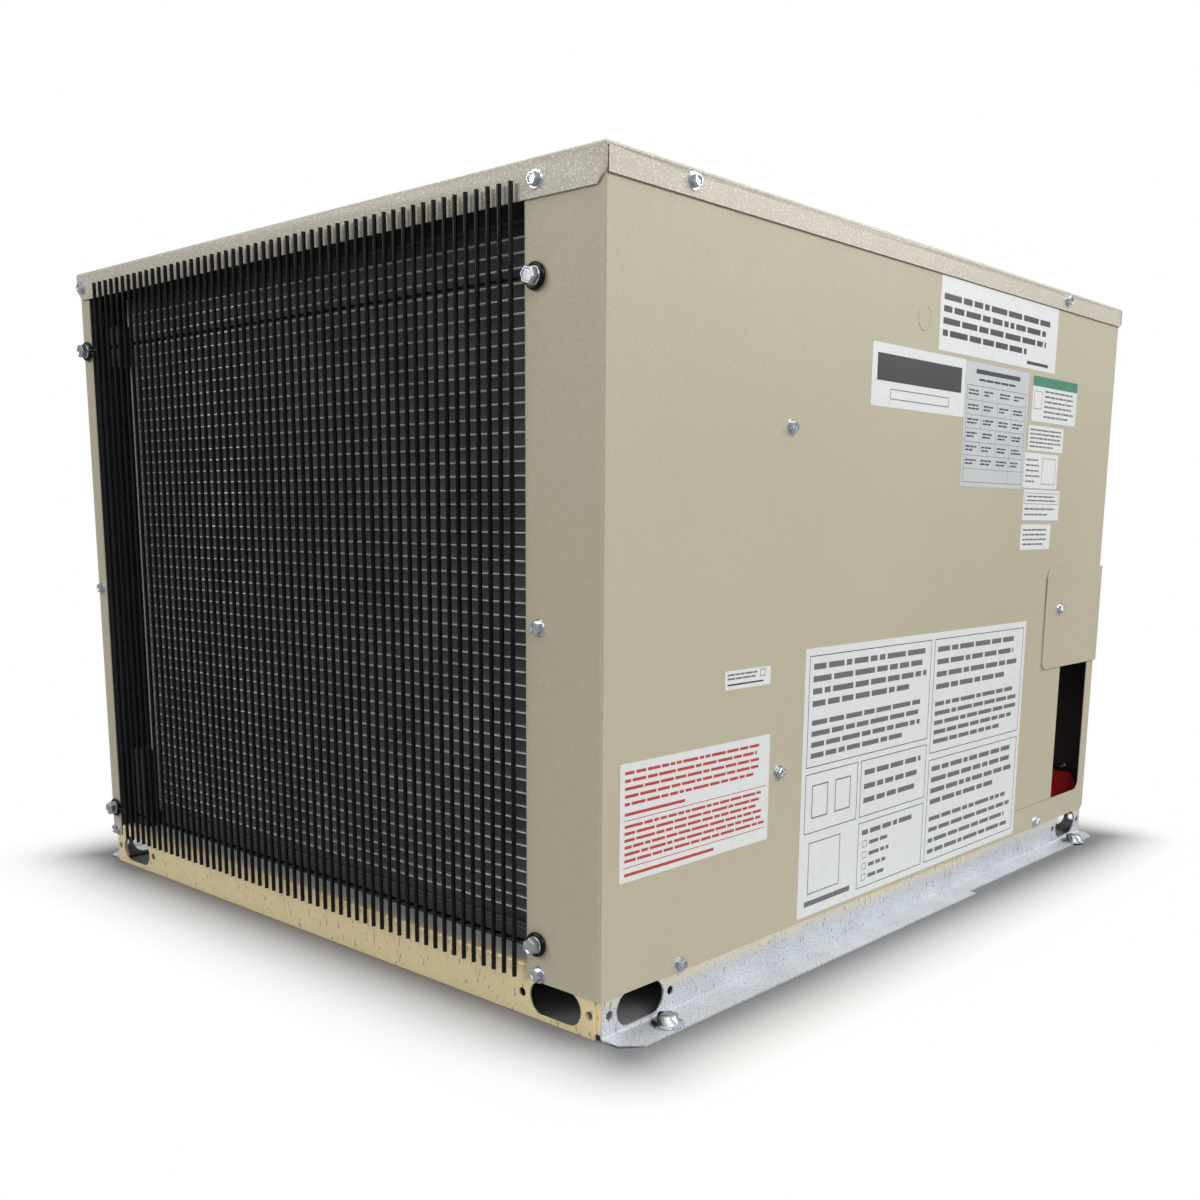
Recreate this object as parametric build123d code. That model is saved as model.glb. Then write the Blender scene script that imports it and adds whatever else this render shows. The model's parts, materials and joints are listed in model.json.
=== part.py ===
"""Refrigeration condensing unit: a microchannel coil on one end of a sheet-metal
cabinet, a fan that draws air through it, and the compressor and piping between.

Millimetres. X runs along the coil face, -Y is the coil face, +X the service side,
+Z is up. The origin is at the middle of the base's underside.
"""
from build123d import *
from math import asin, cos, sin, sqrt
import os

# ---- cabinet ----
width = 688.0            # lid, outside, along X
depth = 828.0            # lid, outside, along Y
height = 580.0
panel_gauge = 1.2
lap_gap = 0.5            # lid flange to the panels inside it
seat_gap = 0.1           # between sheets that are screwed together
butt_gap = 0.5           # between panels that meet edge to edge
bend = 1.6               # centre-line bend radius of painted sheet

lid_end_flange = 25.0    # front and rear flanges of the lid
lid_side_flange = 18.7
lid_corner_gap = 1.4
lid_chamfer = 8.5
lid_edge_round = 2.4

panel_bottom = 29.0
strip_right = 72.3       # right panel's face beside the coil
strip_left = 17.3
hem = 12.0
rear_return = 42.3

# ---- base ----
base_gauge = 1.5
base_bend = 2.2
deck_top = 39.5
foot_flange = 27.5       # outward flange at each side, measured from the side wall
foot_narrow = 20.0
foot_step_y = 95.0       # the flange is narrower behind this place
foot_chamfer_x = 13.0
foot_chamfer_y = 16.0
corner_slit = 5.0        # front and rear flanges stop this far short of the corner
corner_tab = 20.0

obround_length = 50.8
obround_width = 25.4
obround_inset = 46.0     # from the lid's corner to the hole's centre
obround_centre_z = 16.6
side_hole_r = 3.4
side_hole_offset = 33.0

hold_down_reach = 15.5   # outside the base's side wall
hold_down_inset = 57.5   # from the lid's front or rear
hold_down_hole_r = 5.6
hold_down_shank_r = 4.75
hold_down_head_af = 14.3
hold_down_head = 5.6
hold_down_washer_r = 11.9
hold_down_washer = 1.6

# ---- screws ----
screw_r = 2.8
screw_clearance = 0.3
screw_af = 9.5
screw_head = 4.4
screw_flange_r = 6.6
screw_flange = 1.0
screw_length = 8.0
mid_screw_z = 280.8
low_screw_z = 34.2
lid_end_screw_drop = 14.0       # below the lid's top
lid_side_screw_drop = 9.0
right_strip_screw_inset = 59.3  # from a side panel's outer face
left_strip_screw_inset = 8.6
lid_front_screw_inset = 85.0    # from the lid's front or rear
lid_rear_screw_inset = 143.4
side_high_screw = (209.0, 158.0)    # in from the lid's front, down from its top
side_mid_screw = (206.0, 160.0)     # in from the lid's front, up from the base
side_low_front_inset = 88.0
side_low_rear_inset = 131.0
rear_screw_inset = 24.3
rear_low_screw_z = 75.0
rear_screw_drops = (240.0, 60.0)
rear_low_screw_x = 150.0

# ---- line slot and its cover ----
slot_rear_inset = 21.0   # from the lid's rear
slot_length = 73.0
slot_corner_r = 10.0
seam_z = 54.5
seam_length = 260.0      # seam ahead of the slot
slot_top_z = 296.0
corner_chamfer = 6.0
cover_lap = 50.0         # cover ahead of the slot
cover_rear_gap = 0.4
cover_drop = 95.5        # cover's lower edge below the slot's top
cover_rise = 10.0
cover_gauge = 1.5
cover_round = 11.0
cover_chamfer = 5.0
cover_screw_lap = 16.0
cover_screw_drop = 33.0
cover_travel = 8.0

# ---- knockout in the right panel ----
knockout_r = 11.0
knockout_inset = 401.0   # from the lid's front
knockout_drop = 58.0
knockout_groove = 0.9
knockout_depth = 0.5
knockout_tie = 5.0       # uncut bridge

# ---- rear panel and fan ----
rear_strip = 44.5        # joggled strip at each side of the rear panel
joggle = 1.5
fan_x = -50.0
fan_rise = 10.0          # above mid-height
throat_r = 224.0
throat_length = 44.0
bell_r = 14.0
bell_lip = 6.0
venturi_flange = 20.0
venturi_hole_gap = 0.8
tip_gap = 5.0
blade_count = 4
blade_gauge = 2.4
hub_r = 46.0
hub_length = 34.0
hub_wall = 3.0
boss_r = 14.0
blade_plane_inset = 37.0 # middle of the blades, from the lid's rear
blade_depth = 120.0      # room along the axis that the blades are cut from
root_chord = 80.0
tip_chord = 150.0
root_pitch = 33.0
tip_pitch = 17.0
camber = 0.06
blade_sweep = 26.0
blade_stations = (-0.06, 0.29, 0.64, 1.07)   # along the blade, 0 at the hub and 1 at the tip
shaft_r = 6.35
shaft_fit = 0.05
motor_r = 62.0
motor_length = 112.0
motor_front_inset = 74.0
motor_shoulder = 12.0
motor_back_shoulder = 16.0
motor_boss_r = 24.0
motor_boss = 6.0
motor_boss_taper = 3.0
motor_bore = 42.0
shaft_depth = 40.0       # shaft inside the motor
vent_count = 12
vent_r = 41.0
vent_length = 15.0
vent_width = 5.0
vent_depth = 7.0
band_gauge = 2.0
band_width = 30.0
band_gap = 0.2
ear_height = 16.0
ear_gap = 6.0
ear_bolt_r = 2.5
ear_bolt_af = 8.0
ear_bolt_head = 3.5
arm_r = 4.5
arm_bend = 20.0
arm_offset = 12.0        # an arm comes down this far inside its bolt
arm_foot_r = 9.0
arm_foot = 3.0

# ---- wire guards ----
wire_r = 1.7
wire_pitch = 10.9
eye_trim = 0.15          # an eye is pressed this much thinner on each face
front_wire_left = 41.0   # first upright, from the lid's left side
front_wire_right = 2.9   # least room between the last upright and the right strip
rear_wire_reach = 3.2    # uprights beyond the throat
rear_wire_over = 16.0    # uprights run this far above and below the throat
wire_overrun = 4.0       # level wires with no eyes reach this far past the last upright
wire_low_z = 30.0
wire_top_drop = 13.0
guard_bolt_low_z = 57.2
guard_bolt_drop = 72.5
rear_bolt_drop = 9.0     # bolts inside the throat's top and bottom
rear_bolt_reach = 14.0   # bolts outside the throat's sides
guard_bolt_left_inset = 10.3
guard_bolt_right_inset = 60.1
eye_r = 8.7
eye_hole_r = 5.0
bolt_r = 3.9
bolt_hole_r = 4.2
bolt_af = 12.7
bolt_head = 6.2
bolt_length = 12.0

# ---- coil ----
coil_setback = 30.0      # lid's front to the coil's front
coil_thick = 25.0
coil_top_room = 37.0     # least height above the last tube's centre
tube_pitch = 9.92
tube_thick = 1.5
first_tube_z = 65.7
fin_setback = 0.8
fin_end_room = 4.0
header_r = 14.5
header_flat = 4.0        # header's centre line to its flat
header_low_over = 2.0
header_top_over = 4.0
header_groove = 1.0      # rolled groove below each end cap
header_cap = 9.0
coil_left_inset = 48.0
coil_right_inset = 56.0
plate_thick = 2.0
block_top_drops = (86.0, 50.0)
block_low_top_z = 118.0
block_front = 14.0
block_back = 6.5
block_end = 1.0
block_gap = 0.2
channel_gauge = 1.5
channel_overhang = 2.0
channel_end_room = 6.0

# ---- compressor ----
comp_x = -70.0
comp_y = -90.0
comp_r = 84.0
comp_low_z = 61.5
comp_top_z = 400.0
comp_dome = 34.0
comp_knuckle = 16.0
weld_sink = 2.0          # the shell's dome stands this deep in its foot plate
seam_drop = 26.0         # welded seam below the upper knuckle
seam_proud = 2.0
seam_height = 8.0
seam_round = 1.8
foot_plate = 4.0
foot_half = 110.0
foot_corner_r = 18.0
foot_bolt = 95.25        # half of the 190.5 mm square
grommet_r = 16.0
grommet_bore = 5.0
grommet_waist = 3.0
foot_bolt_r = 4.0
foot_bolt_clearance = 1.0
foot_bolt_af = 13.0
foot_bolt_head = 6.0
foot_washer_r = 13.0
foot_washer = 1.6
stub_r = 12.5
stub_root = 6.0          # stub inside the shell
stub_out = 28.0
suction_port_z = 250.0
discharge_offset = 45.0  # discharge stub from the shell's axis
discharge_wall = 1.6
discharge_stub = 14.0    # above the shell's top
lug_width = 26.0         # lifting lug on the top
lug_height = 22.0
lug_thick = 5.0
lug_hole_r = 6.0
lug_offset = -38.0
heater_width = 14.0
heater_gauge = 3.0
heater_fit = 0.2
heater_z = 112.0
terminal_w = 76.0
terminal_h = 84.0
terminal_d = 28.0        # cover in front of the shell
terminal_round = 6.0
terminal_fit = 0.2
terminal_z = 288.0
terminal_lip = 3.0
terminal_lip_depth = 5.0

# ---- receiver ----
tank_inset = 69.0        # from the lid's left side
tank_y = 90.0
tank_r = 57.0
tank_low_z = 56.0
tank_top_z = 322.0
tank_dome = 22.0
tank_knuckle = 10.0
tank_stub_offset = 25.0
tank_stub_r = 7.6
tank_stub = 22.0
tank_seam = 1.2          # welded seam round the middle
tank_seam_height = 7.0
relief_offset = 30.0
relief_af = 16.0
relief_height = 6.0
relief_bore_r = 4.0
skirt_r = 44.0
skirt_gauge = 2.5
skirt_overlap = 12.0
skirt_fit = 0.1
skirt_foot_r = 62.0
skirt_hole_r = 3.5

# ---- piping ----
liquid_r = 6.35
discharge_r = 7.9
suction_r = 11.1
liquid_bend = 18.0
suction_bend = 30.0
discharge_bend = 20.0
drier_r = 32.0
drier_left_x = -120.0
drier_length = 130.0
drier_neck_wall = 2.5
drier_neck = 10.0
drier_taper = 16.0
drier_y = 200.0
liquid_z = 85.0
liquid_loop = 42.0       # rise over the receiver's outlet
condenser_rise = 73.0
condenser_outlet_z = 140.0
condenser_run = 49.0     # pipe behind the coil
discharge_run = 69.0
discharge_rise = 75.0    # level run above the compressor's top
glass_x = 60.0
glass_length = 44.0
glass_r = 13.0
glass_wall = 2.2
glass_height = 24.0
glass_below = 9.0
glass_recess = 2.0
glass_rim = 4.0
suction_run = 166.0      # pipe beyond the shell's side
suction_rise = 57.0      # above the motor bracket's lower feet
liquid_rise_room = 27.6  # pipe ahead of the partition
valve_reach = 30.4       # valves beyond the partition
valve_inset = 42.0       # from the lid's rear
valve_body_r = 15.0
valve_body_front = 12.0
valve_back_port = 20.0
valve_neck_r = 11.0
valve_neck = 22.0
valve_thread = 34.0
valve_thread_gap = 0.4
port_out = 46.0
suction_stub_r = 13.4
suction_bore_r = 11.2
liquid_stub_r = 8.2
liquid_bore_r = 6.45
stub_depth = 18.0
stem_r = 4.0
stem_fit = 0.05
stem_square = 5.6
stem_square_length = 8.0
stem_seat = 13.0
stem_length = 24.0
cap_af = 22.0
cap_wall_r = 8.9
cap_length = 26.0
cap_top = 2.0
cap_seat_gap = 0.3

# ---- partition, bracket ----
partition_inset = 105.5  # from the side panel's inner face
partition_ahead = 34.4   # ahead of the line slot
partition_flange = 14.0
partition_gauge = 1.2
partition_top_drop = 35.0
grommet_rim = 3.0
grommet_lip = 3.0
grommet_fit = 0.1
grommet_half = 4.0
bracket_gauge = 2.0
bracket_inset = 14.0     # from the lid's rear
bracket_left_room = 8.4
bracket_right_room = 3.1
bracket_rise = 30.0      # above the suction line
bracket_short_z = 70.0
bracket_step_inset = 43.1
bracket_step_slope = 12.0
bracket_step_rise = 20.0
bracket_top_chamfer = 10.0
bracket_chamfer_x = 8.0
bracket_chamfer_z = 15.0
bracket_foot = 34.0
bracket_foot_room = 20.0
foot_hole_r = 3.2

# ---- control box ----
box_room = 9.1           # box to the side panel's inner face
box_depth = 100.0
box_front_y = -180.0
box_length = 200.0
box_low_z = 300.0
box_top_drop = 40.0
box_gauge = 1.2
box_lip = 15.0
box_gap = 0.2
stand_flange = 40.0
stand_inset = 10.0
conduit_r = 11.1
conduit_inset = 30.0
contactor = (46.0, 52.0, 62.0)
contactor_y = -130.0
contactor_rise = 170.0   # above the box's floor
contactor_step = 0.3     # share of the depth that the terminal steps take
contactor_step_height = 13.6
plunger = (9.0, 20.0, 30.0)
plunger_proud = 3.0
plunger_gap = 0.4
plunger_travel = 2.5
capacitor_r = 24.0
capacitor_length = 92.0
capacitor_y = -30.0
capacitor_rise = 100.0
capacitor_fit = 0.2
tab_offset = 9.0
tab_half = 3.0
tab_thick = 0.8
tab_height = 8.0
terminal_strip = (22.0, 92.0, 30.0)
terminal_strip_front = 50.0
terminal_strip_rise = 50.0
terminal_cells = 6
terminal_wall = 2.0
terminal_cell_depth = 0.45   # share of the strip's depth

# ---- worked out from the above ----
lid_x = width / 2
lid_y = depth / 2
panel_x = lid_x - panel_gauge - lap_gap          # outer face of a side panel
panel_y = lid_y - panel_gauge - lap_gap
panel_top = height - panel_gauge - 0.3
base_x = panel_x - panel_gauge - seat_gap        # outer face of the base's side wall
base_y = panel_y - panel_gauge - seat_gap
inner_x = panel_x - panel_gauge                  # inner face of a side panel
inner_y = panel_y - panel_gauge
hold_down_x = base_x + hold_down_reach
hold_down_y = lid_y - hold_down_inset
right_strip_screw_x = panel_x - right_strip_screw_inset
left_strip_screw_x = left_strip_screw_inset - panel_x
lid_side_screw_y = (lid_front_screw_inset - lid_y, lid_y - lid_rear_screw_inset)
rear_screw_x = panel_x - rear_screw_inset
rear_screw_z = (rear_low_screw_z, *[height - drop for drop in rear_screw_drops])
side_screws = (
    (side_high_screw[0] - lid_y, height - side_high_screw[1]),
    (side_mid_screw[0] - lid_y, side_mid_screw[1]),
    (side_low_front_inset - lid_y, low_screw_z),
    (lid_y - side_low_rear_inset, low_screw_z),
)
slot_rear_y = lid_y - slot_rear_inset
slot_front_y = slot_rear_y - slot_length
seam_front_y = slot_front_y - seam_length
cover_front_y = slot_front_y - cover_lap
cover_rear_y = lid_y - cover_rear_gap
cover_low_z = slot_top_z - cover_drop
cover_top_z = slot_top_z + cover_rise
cover_screw_y = slot_front_y - cover_screw_lap
cover_screw_z = slot_top_z - cover_screw_drop
fan_z = height / 2 + fan_rise
tip_r = throat_r - tip_gap
blade_plane_y = lid_y - blade_plane_inset
motor_front_y = lid_y - motor_front_inset
venturi_flange_r = throat_r + venturi_flange
rear_bolt_x = throat_r + rear_bolt_reach         # either side of the fan
rear_guard_bolt_z = (fan_z - throat_r + rear_bolt_drop, fan_z + throat_r - rear_bolt_drop)
suction_z = rear_guard_bolt_z[0] + suction_rise
bracket_tall_z = suction_z + bracket_rise
coil_front_y = -lid_y + coil_setback
coil_y = coil_front_y + coil_thick / 2
coil_back_y = coil_front_y + coil_thick
coil_left_x = coil_left_inset - lid_x
coil_right_x = lid_x - coil_right_inset
tube_count = int((height - coil_top_room - first_tube_z) / tube_pitch) + 1
last_tube_z = first_tube_z + (tube_count - 1) * tube_pitch
coil_low_z = first_tube_z - tube_pitch
coil_top_z = last_tube_z + tube_pitch
rail_y = panel_y + seat_gap + wire_r             # guard's level wires
upright_y = rail_y + 2 * wire_r
guard_bolt_z = (guard_bolt_low_z, height - guard_bolt_drop)
guard_bolt_xs = (guard_bolt_left_inset - panel_x, panel_x - guard_bolt_right_inset)
front_wire_x = front_wire_left - lid_x
front_wire_room = panel_x - strip_right - front_wire_right - front_wire_x
front_wire_count = int(front_wire_room / wire_pitch + 0.01) + 1
rear_wire_count = int(2 * (throat_r + rear_wire_reach) / wire_pitch) + 1
grommet_height = comp_low_z - foot_plate - deck_top
tank_x = tank_inset - lid_x
partition_x = inner_x - partition_inset
partition_y = slot_front_y - partition_ahead
partition_top_z = height - partition_top_drop
valve_x = partition_x + valve_reach
valve_y = lid_y - valve_inset
valve_inlet_x = valve_x - valve_back_port
suction_x = comp_x + comp_r + suction_run
liquid_rise_x = partition_x - liquid_rise_room
bracket_face_y = lid_y - bracket_inset
bracket_left_x = partition_x + bracket_left_room
bracket_right_x = inner_x - bracket_right_room
bracket_step_x = inner_x - bracket_step_inset
box_back_x = inner_x - box_room - box_depth
box_height = height - box_top_drop - box_low_z
contactor_z = box_low_z + contactor_rise
capacitor_z = box_low_z + capacitor_rise
terminal_strip_z = box_low_z + terminal_strip_rise


def folded(points, gauge, radius, plane, length):
    """Sheet metal: a bent centre line given a thickness and drawn out by length."""
    line = FilletPolyline(*points, radius=radius)
    return extrude(plane * trace(line, gauge), length)


def block(low, high):
    """A box between two opposite corners."""
    size = [b - a for a, b in zip(low, high)]
    return Pos(*low) * Box(*size, align=(Align.MIN,) * 3)


def rod(start, direction, radius, length):
    """A round bar from start along direction."""
    plane = Plane(origin=start, z_dir=direction)
    return extrude(plane * Circle(radius), length)


def ring(start, direction, outer, inner, length):
    plane = Plane(origin=start, z_dir=direction)
    return extrude(plane * (Circle(outer) - Circle(inner)), length)


def hexagon(start, direction, across_flats, length):
    plane = Plane(origin=start, z_dir=direction)
    flat = RegularPolygon(across_flats / 2, 6, major_radius=False)
    return extrude(plane * flat, length)


def tube_run(points, radius, bend_radius):
    """A round pipe along straight runs joined by tangent arcs."""
    path = FilletPolyline(*points, radius=bend_radius)
    end = Plane(origin=path @ 0, z_dir=path % 0)
    return sweep(end * Circle(radius), path=path)


def group(*pieces):
    """Separate solids kept together in one node."""
    solids = []
    for piece in pieces:
        solids.extend(piece.solids())
    return Compound(children=solids)


def hex_screw(seat, direction, shank):
    """Hex-washer-head screw: its washer lies on seat, direction points into the work."""
    out = [-d for d in direction]
    head = rod(seat, out, screw_flange_r, screw_flange)
    head += hexagon(seat, out, screw_af, screw_flange + screw_head)
    return head + rod(seat, direction, screw_r, shank)


def guard_bolt(seat, direction):
    out = [-d for d in direction]
    return hexagon(seat, out, bolt_af, bolt_head) + rod(seat, direction, bolt_r, bolt_length)


def drill(place, direction, radius, length=6.0):
    """A round cutter centred on place."""
    start = [p - d * length / 2 for p, d in zip(place, direction)]
    return rod(start, direction, radius, length)


along_x = (1, 0, 0)
along_y = (0, 1, 0)
along_z = (0, 0, 1)
screw_hole_r = screw_r + screw_clearance


# ---- lid ----
def lid_screw_places():
    """Seat and inward direction of each screw in the lid's flanges."""
    places = []
    for x in (right_strip_screw_x, left_strip_screw_x):
        places.append(((x, -lid_y, height - lid_end_screw_drop), (0, 1, 0)))
        places.append(((x, lid_y, height - lid_end_screw_drop), (0, -1, 0)))
    for y in lid_side_screw_y:
        places.append(((lid_x, y, height - lid_side_screw_drop), (-1, 0, 0)))
        places.append(((-lid_x, y, height - lid_side_screw_drop), (1, 0, 0)))
    return places


def make_lid():
    lid = block((-lid_x, -lid_y, height - lid_end_flange), (lid_x, lid_y, height))
    lid = fillet(lid.faces().sort_by(Axis.Z)[-1].edges(), lid_edge_round)
    lid -= block(
        (-lid_x + panel_gauge, -lid_y + panel_gauge, height - lid_end_flange),
        (lid_x - panel_gauge, lid_y - panel_gauge, height - panel_gauge),
    )
    side_low = height - lid_side_flange
    for side in (-1, 1):
        outer, inner = side * (lid_x + 1), side * (lid_x - panel_gauge)
        near, far = min(outer, inner), max(outer, inner)
        lid -= block(
            (near, -lid_y + panel_gauge, height - lid_end_flange),
            (far, lid_y - panel_gauge, side_low),
        )
        for end in (-1, 1):
            slit_a = end * (lid_y - panel_gauge)
            slit_b = end * (lid_y - panel_gauge - lid_corner_gap)
            lid -= block(
                (near, min(slit_a, slit_b), side_low - 1),
                (far, max(slit_a, slit_b), height - lid_edge_round - 1),
            )
            corner = Polyline(
                (side * lid_x, height - lid_end_flange),
                (side * (lid_x - lid_chamfer), height - lid_end_flange),
                (side * lid_x, height - lid_end_flange + lid_chamfer),
                close=True,
            )
            plane = Plane(origin=(0, end * lid_y, 0), x_dir=(1, 0, 0), z_dir=(0, -1, 0))
            lid -= extrude(plane * make_face(corner), 2 * panel_gauge, both=True)
    for seat, inward in lid_screw_places():
        lid -= drill(seat, inward, screw_hole_r)
    return lid


def make_lid_screws():
    return group(*[hex_screw(s, d, panel_gauge) for s, d in lid_screw_places()])


# ---- base ----
def obround(centre, along, through):
    """Cutter for a lifting hole; along is the long direction, through the wall's normal."""
    plane = Plane(origin=centre, x_dir=along, z_dir=through)
    return extrude(plane * SlotOverall(obround_length, obround_width), 12, both=True)


def make_base():
    end_wall = base_y - base_gauge / 2
    side_wall = base_x - base_gauge / 2
    deck_mid = deck_top - base_gauge / 2
    half_width = base_x - corner_slit
    ends = folded(
        [(-end_wall, 0), (-end_wall, deck_mid), (end_wall, deck_mid), (end_wall, 0)],
        base_gauge, base_bend, Plane.YZ.offset(-half_width), 2 * half_width,
    )
    foot_out = side_wall + foot_flange - base_gauge / 2
    tab_y = end_wall - base_gauge - seat_gap
    pan = ends
    for side in (-1, 1):
        wall = folded(
            [
                (side * (side_wall - 30), deck_mid), (side * side_wall, deck_mid),
                (side * side_wall, base_gauge / 2), (side * (foot_out + base_gauge), base_gauge / 2),
            ],
            base_gauge, base_bend, Plane.XZ.offset(-tab_y), 2 * tab_y,
        )
        tabs = folded(
            [
                (side * (side_wall - corner_tab), -tab_y), (side * side_wall, -tab_y),
                (side * side_wall, tab_y), (side * (side_wall - corner_tab), tab_y),
            ],
            base_gauge, base_bend, Plane.XY.offset(2 * base_bend), deck_mid - 4 * base_bend,
        )
        pan += wall + tabs
        edge = side * (foot_out + base_gauge)
        narrow = side * (base_x + foot_narrow)
        pan -= block(
            (min(edge, narrow) - (1 if side < 0 else 0), foot_step_y, -1),
            (max(edge, narrow) + (1 if side > 0 else 0), base_y + 1, 2 * base_gauge),
        )
        trim = side * (base_x + foot_flange)
        pan -= block(
            (min(trim, trim + side * 9), -base_y - 1, -1),
            (max(trim, trim + side * 9), base_y + 1, 2 * base_gauge),
        )
        for end, outer in ((-1, trim), (1, narrow)):
            corner = Polyline(
                (outer - side * foot_chamfer_x, end * (tab_y + 1)),
                (outer + side, end * (tab_y + 1)),
                (outer + side, end * (tab_y - foot_chamfer_y)),
                close=True,
            )
            pan -= extrude(make_face(corner), 2 * base_gauge)
    return pan - base_holes()


def base_holes():
    cuts = []
    x = lid_x - obround_inset
    y = lid_y - obround_inset
    for i in (-1, 1):
        for j in (-1, 1):
            cuts.append(obround((i * x, j * base_y, obround_centre_z), along_x, along_y))
            cuts.append(obround((i * base_x, j * y, obround_centre_z), along_y, along_x))
            for k in (-1, 1):
                step = k * side_hole_offset
                cuts.append(drill((i * x + step, j * base_y, obround_centre_z), along_y, side_hole_r, 9))
                cuts.append(drill((i * base_x, j * y + step, obround_centre_z), along_x, side_hole_r, 9))
            cuts.append(drill((i * hold_down_x, j * hold_down_y, 0), along_z, hold_down_hole_r))
    for seat, inward in panel_screw_places():
        if seat[2] <= deck_top:
            cuts.append(drill(seat, inward, screw_hole_r, 9))
    return cuts


def make_hold_down_bolts():
    bolts = []
    for i in (-1, 1):
        for j in (-1, 1):
            x, y = i * hold_down_x, j * hold_down_y
            bolt = rod((x, y, base_gauge), along_z, hold_down_washer_r, hold_down_washer)
            rise = hold_down_washer + hold_down_head
            bolt += hexagon((x, y, base_gauge), along_z, hold_down_head_af, rise)
            bolt += rod((x, y, 0), along_z, hold_down_shank_r, base_gauge + hold_down_washer)
            bolts.append(bolt)
    return group(*bolts)


# ---- painted panels ----
def panel_screw_places():
    """Seat and inward direction of each screw that holds the side and rear panels."""
    places = []
    for x in (right_strip_screw_x, left_strip_screw_x):
        for z in (low_screw_z, mid_screw_z):
            places.append(((x, -panel_y, z), (0, 1, 0)))
    for y, z in side_screws:
        places.append(((panel_x, y, z), (-1, 0, 0)))
        places.append(((-panel_x, y, z), (1, 0, 0)))
    for side in (-1, 1):
        for z in rear_screw_z:
            places.append(((side * rear_screw_x, panel_y, z), (0, -1, 0)))
        places.append(((side * rear_low_screw_x, panel_y, low_screw_z), (0, -1, 0)))
    return places


def front_bolt_places():
    return [(x, z) for x in guard_bolt_xs for z in guard_bolt_z]


def rear_bolt_places():
    xs = (fan_x - rear_bolt_x, fan_x + rear_bolt_x)
    return [(x, z) for x in xs for z in rear_guard_bolt_z]


def drill_panel(panel):
    """All screw and bolt holes that fall on a panel; those elsewhere cut nothing."""
    cuts = [drill(seat, inward, screw_hole_r) for seat, inward in panel_screw_places()]
    cuts += [drill((x, -panel_y, z), along_y, bolt_hole_r) for x, z in front_bolt_places()]
    cuts += [drill((x, panel_y, z), along_y, bolt_hole_r) for x, z in rear_bolt_places()]
    return panel - cuts


def side_sheet(side, strip, low, high):
    """Front strip, side and rear return of a side panel, folded from one sheet."""
    face = panel_x - panel_gauge / 2
    end = panel_y - panel_gauge / 2
    strip_x = panel_x - strip + panel_gauge / 2
    points = [
        (side * strip_x, -end + hem), (side * strip_x, -end), (side * face, -end),
        (side * face, end), (side * (panel_x - rear_return), end),
    ]
    sheet = folded(points, panel_gauge, bend, Plane.XY.offset(low), high - low)
    hem_cut = deck_top + seat_gap
    return sheet - block(
        (min(side * strip_x, side * panel_x) - 1, -inner_y, low - 1),
        (max(side * strip_x, side * inner_x) - (0 if side > 0 else -1), -inner_y + hem, hem_cut),
    )


def make_left_panel():
    return drill_panel(side_sheet(-1, strip_left, panel_bottom, panel_top))


def corner_outline():
    """Side view of the rear corner panel, Y across and Z up."""
    rear = panel_y + 1
    return make_face([
        Line((seam_front_y, panel_bottom), (seam_front_y, seam_z)),
        Line((seam_front_y, seam_z), (slot_rear_y - slot_corner_r, seam_z)),
        RadiusArc(
            (slot_rear_y - slot_corner_r, seam_z), (slot_rear_y, seam_z + slot_corner_r),
            -slot_corner_r, short_sagitta=True,
        ),
        Line((slot_rear_y, seam_z + slot_corner_r), (slot_rear_y, slot_top_z)),
        Line((slot_rear_y, slot_top_z), (rear, slot_top_z)),
        Line((rear, slot_top_z), (rear, panel_bottom + corner_chamfer + 1)),
        Line((rear, panel_bottom + corner_chamfer + 1), (rear - corner_chamfer - 1, panel_bottom)),
        Line((rear - corner_chamfer - 1, panel_bottom), (seam_front_y, panel_bottom)),
    ])


def make_corner_panel():
    sheet = side_sheet(1, strip_right, panel_bottom, slot_top_z)
    keep_side = extrude(Plane.YZ.offset(panel_x - 6) * corner_outline(), 12)
    keep_return = block(
        (panel_x - rear_return - 1, panel_y - 3, panel_bottom), (panel_x - 5, panel_y + 1, slot_top_z)
    )
    return drill_panel(sheet & (keep_side + keep_return))


def knockout():
    """Cutter for a scored disc, left joined by one bridge."""
    place = Plane(
        origin=(panel_x - knockout_depth, knockout_inset - lid_y, height - knockout_drop),
        x_dir=along_y, z_dir=along_x,
    )
    score = Circle(knockout_r) - Circle(knockout_r - knockout_groove)
    score -= Pos(0, knockout_r) * Rectangle(knockout_tie, 4 * knockout_groove)
    return extrude(place * score, 1 + knockout_depth)


def make_right_panel():
    sheet = side_sheet(1, strip_right, panel_bottom, panel_top)
    sheet -= knockout()
    sheet -= block(
        (panel_x - rear_return - 5, seam_front_y - butt_gap, panel_bottom - 1),
        (panel_x + 1, panel_y + 1, seam_z + butt_gap),
    )
    sheet -= block(
        (panel_x - rear_return - 5, slot_front_y, panel_bottom),
        (panel_x + 1, panel_y + 1, slot_top_z + butt_gap),
    )
    sheet -= drill((panel_x, cover_screw_y, cover_screw_z), along_x, screw_hole_r)
    return drill_panel(sheet)


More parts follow.
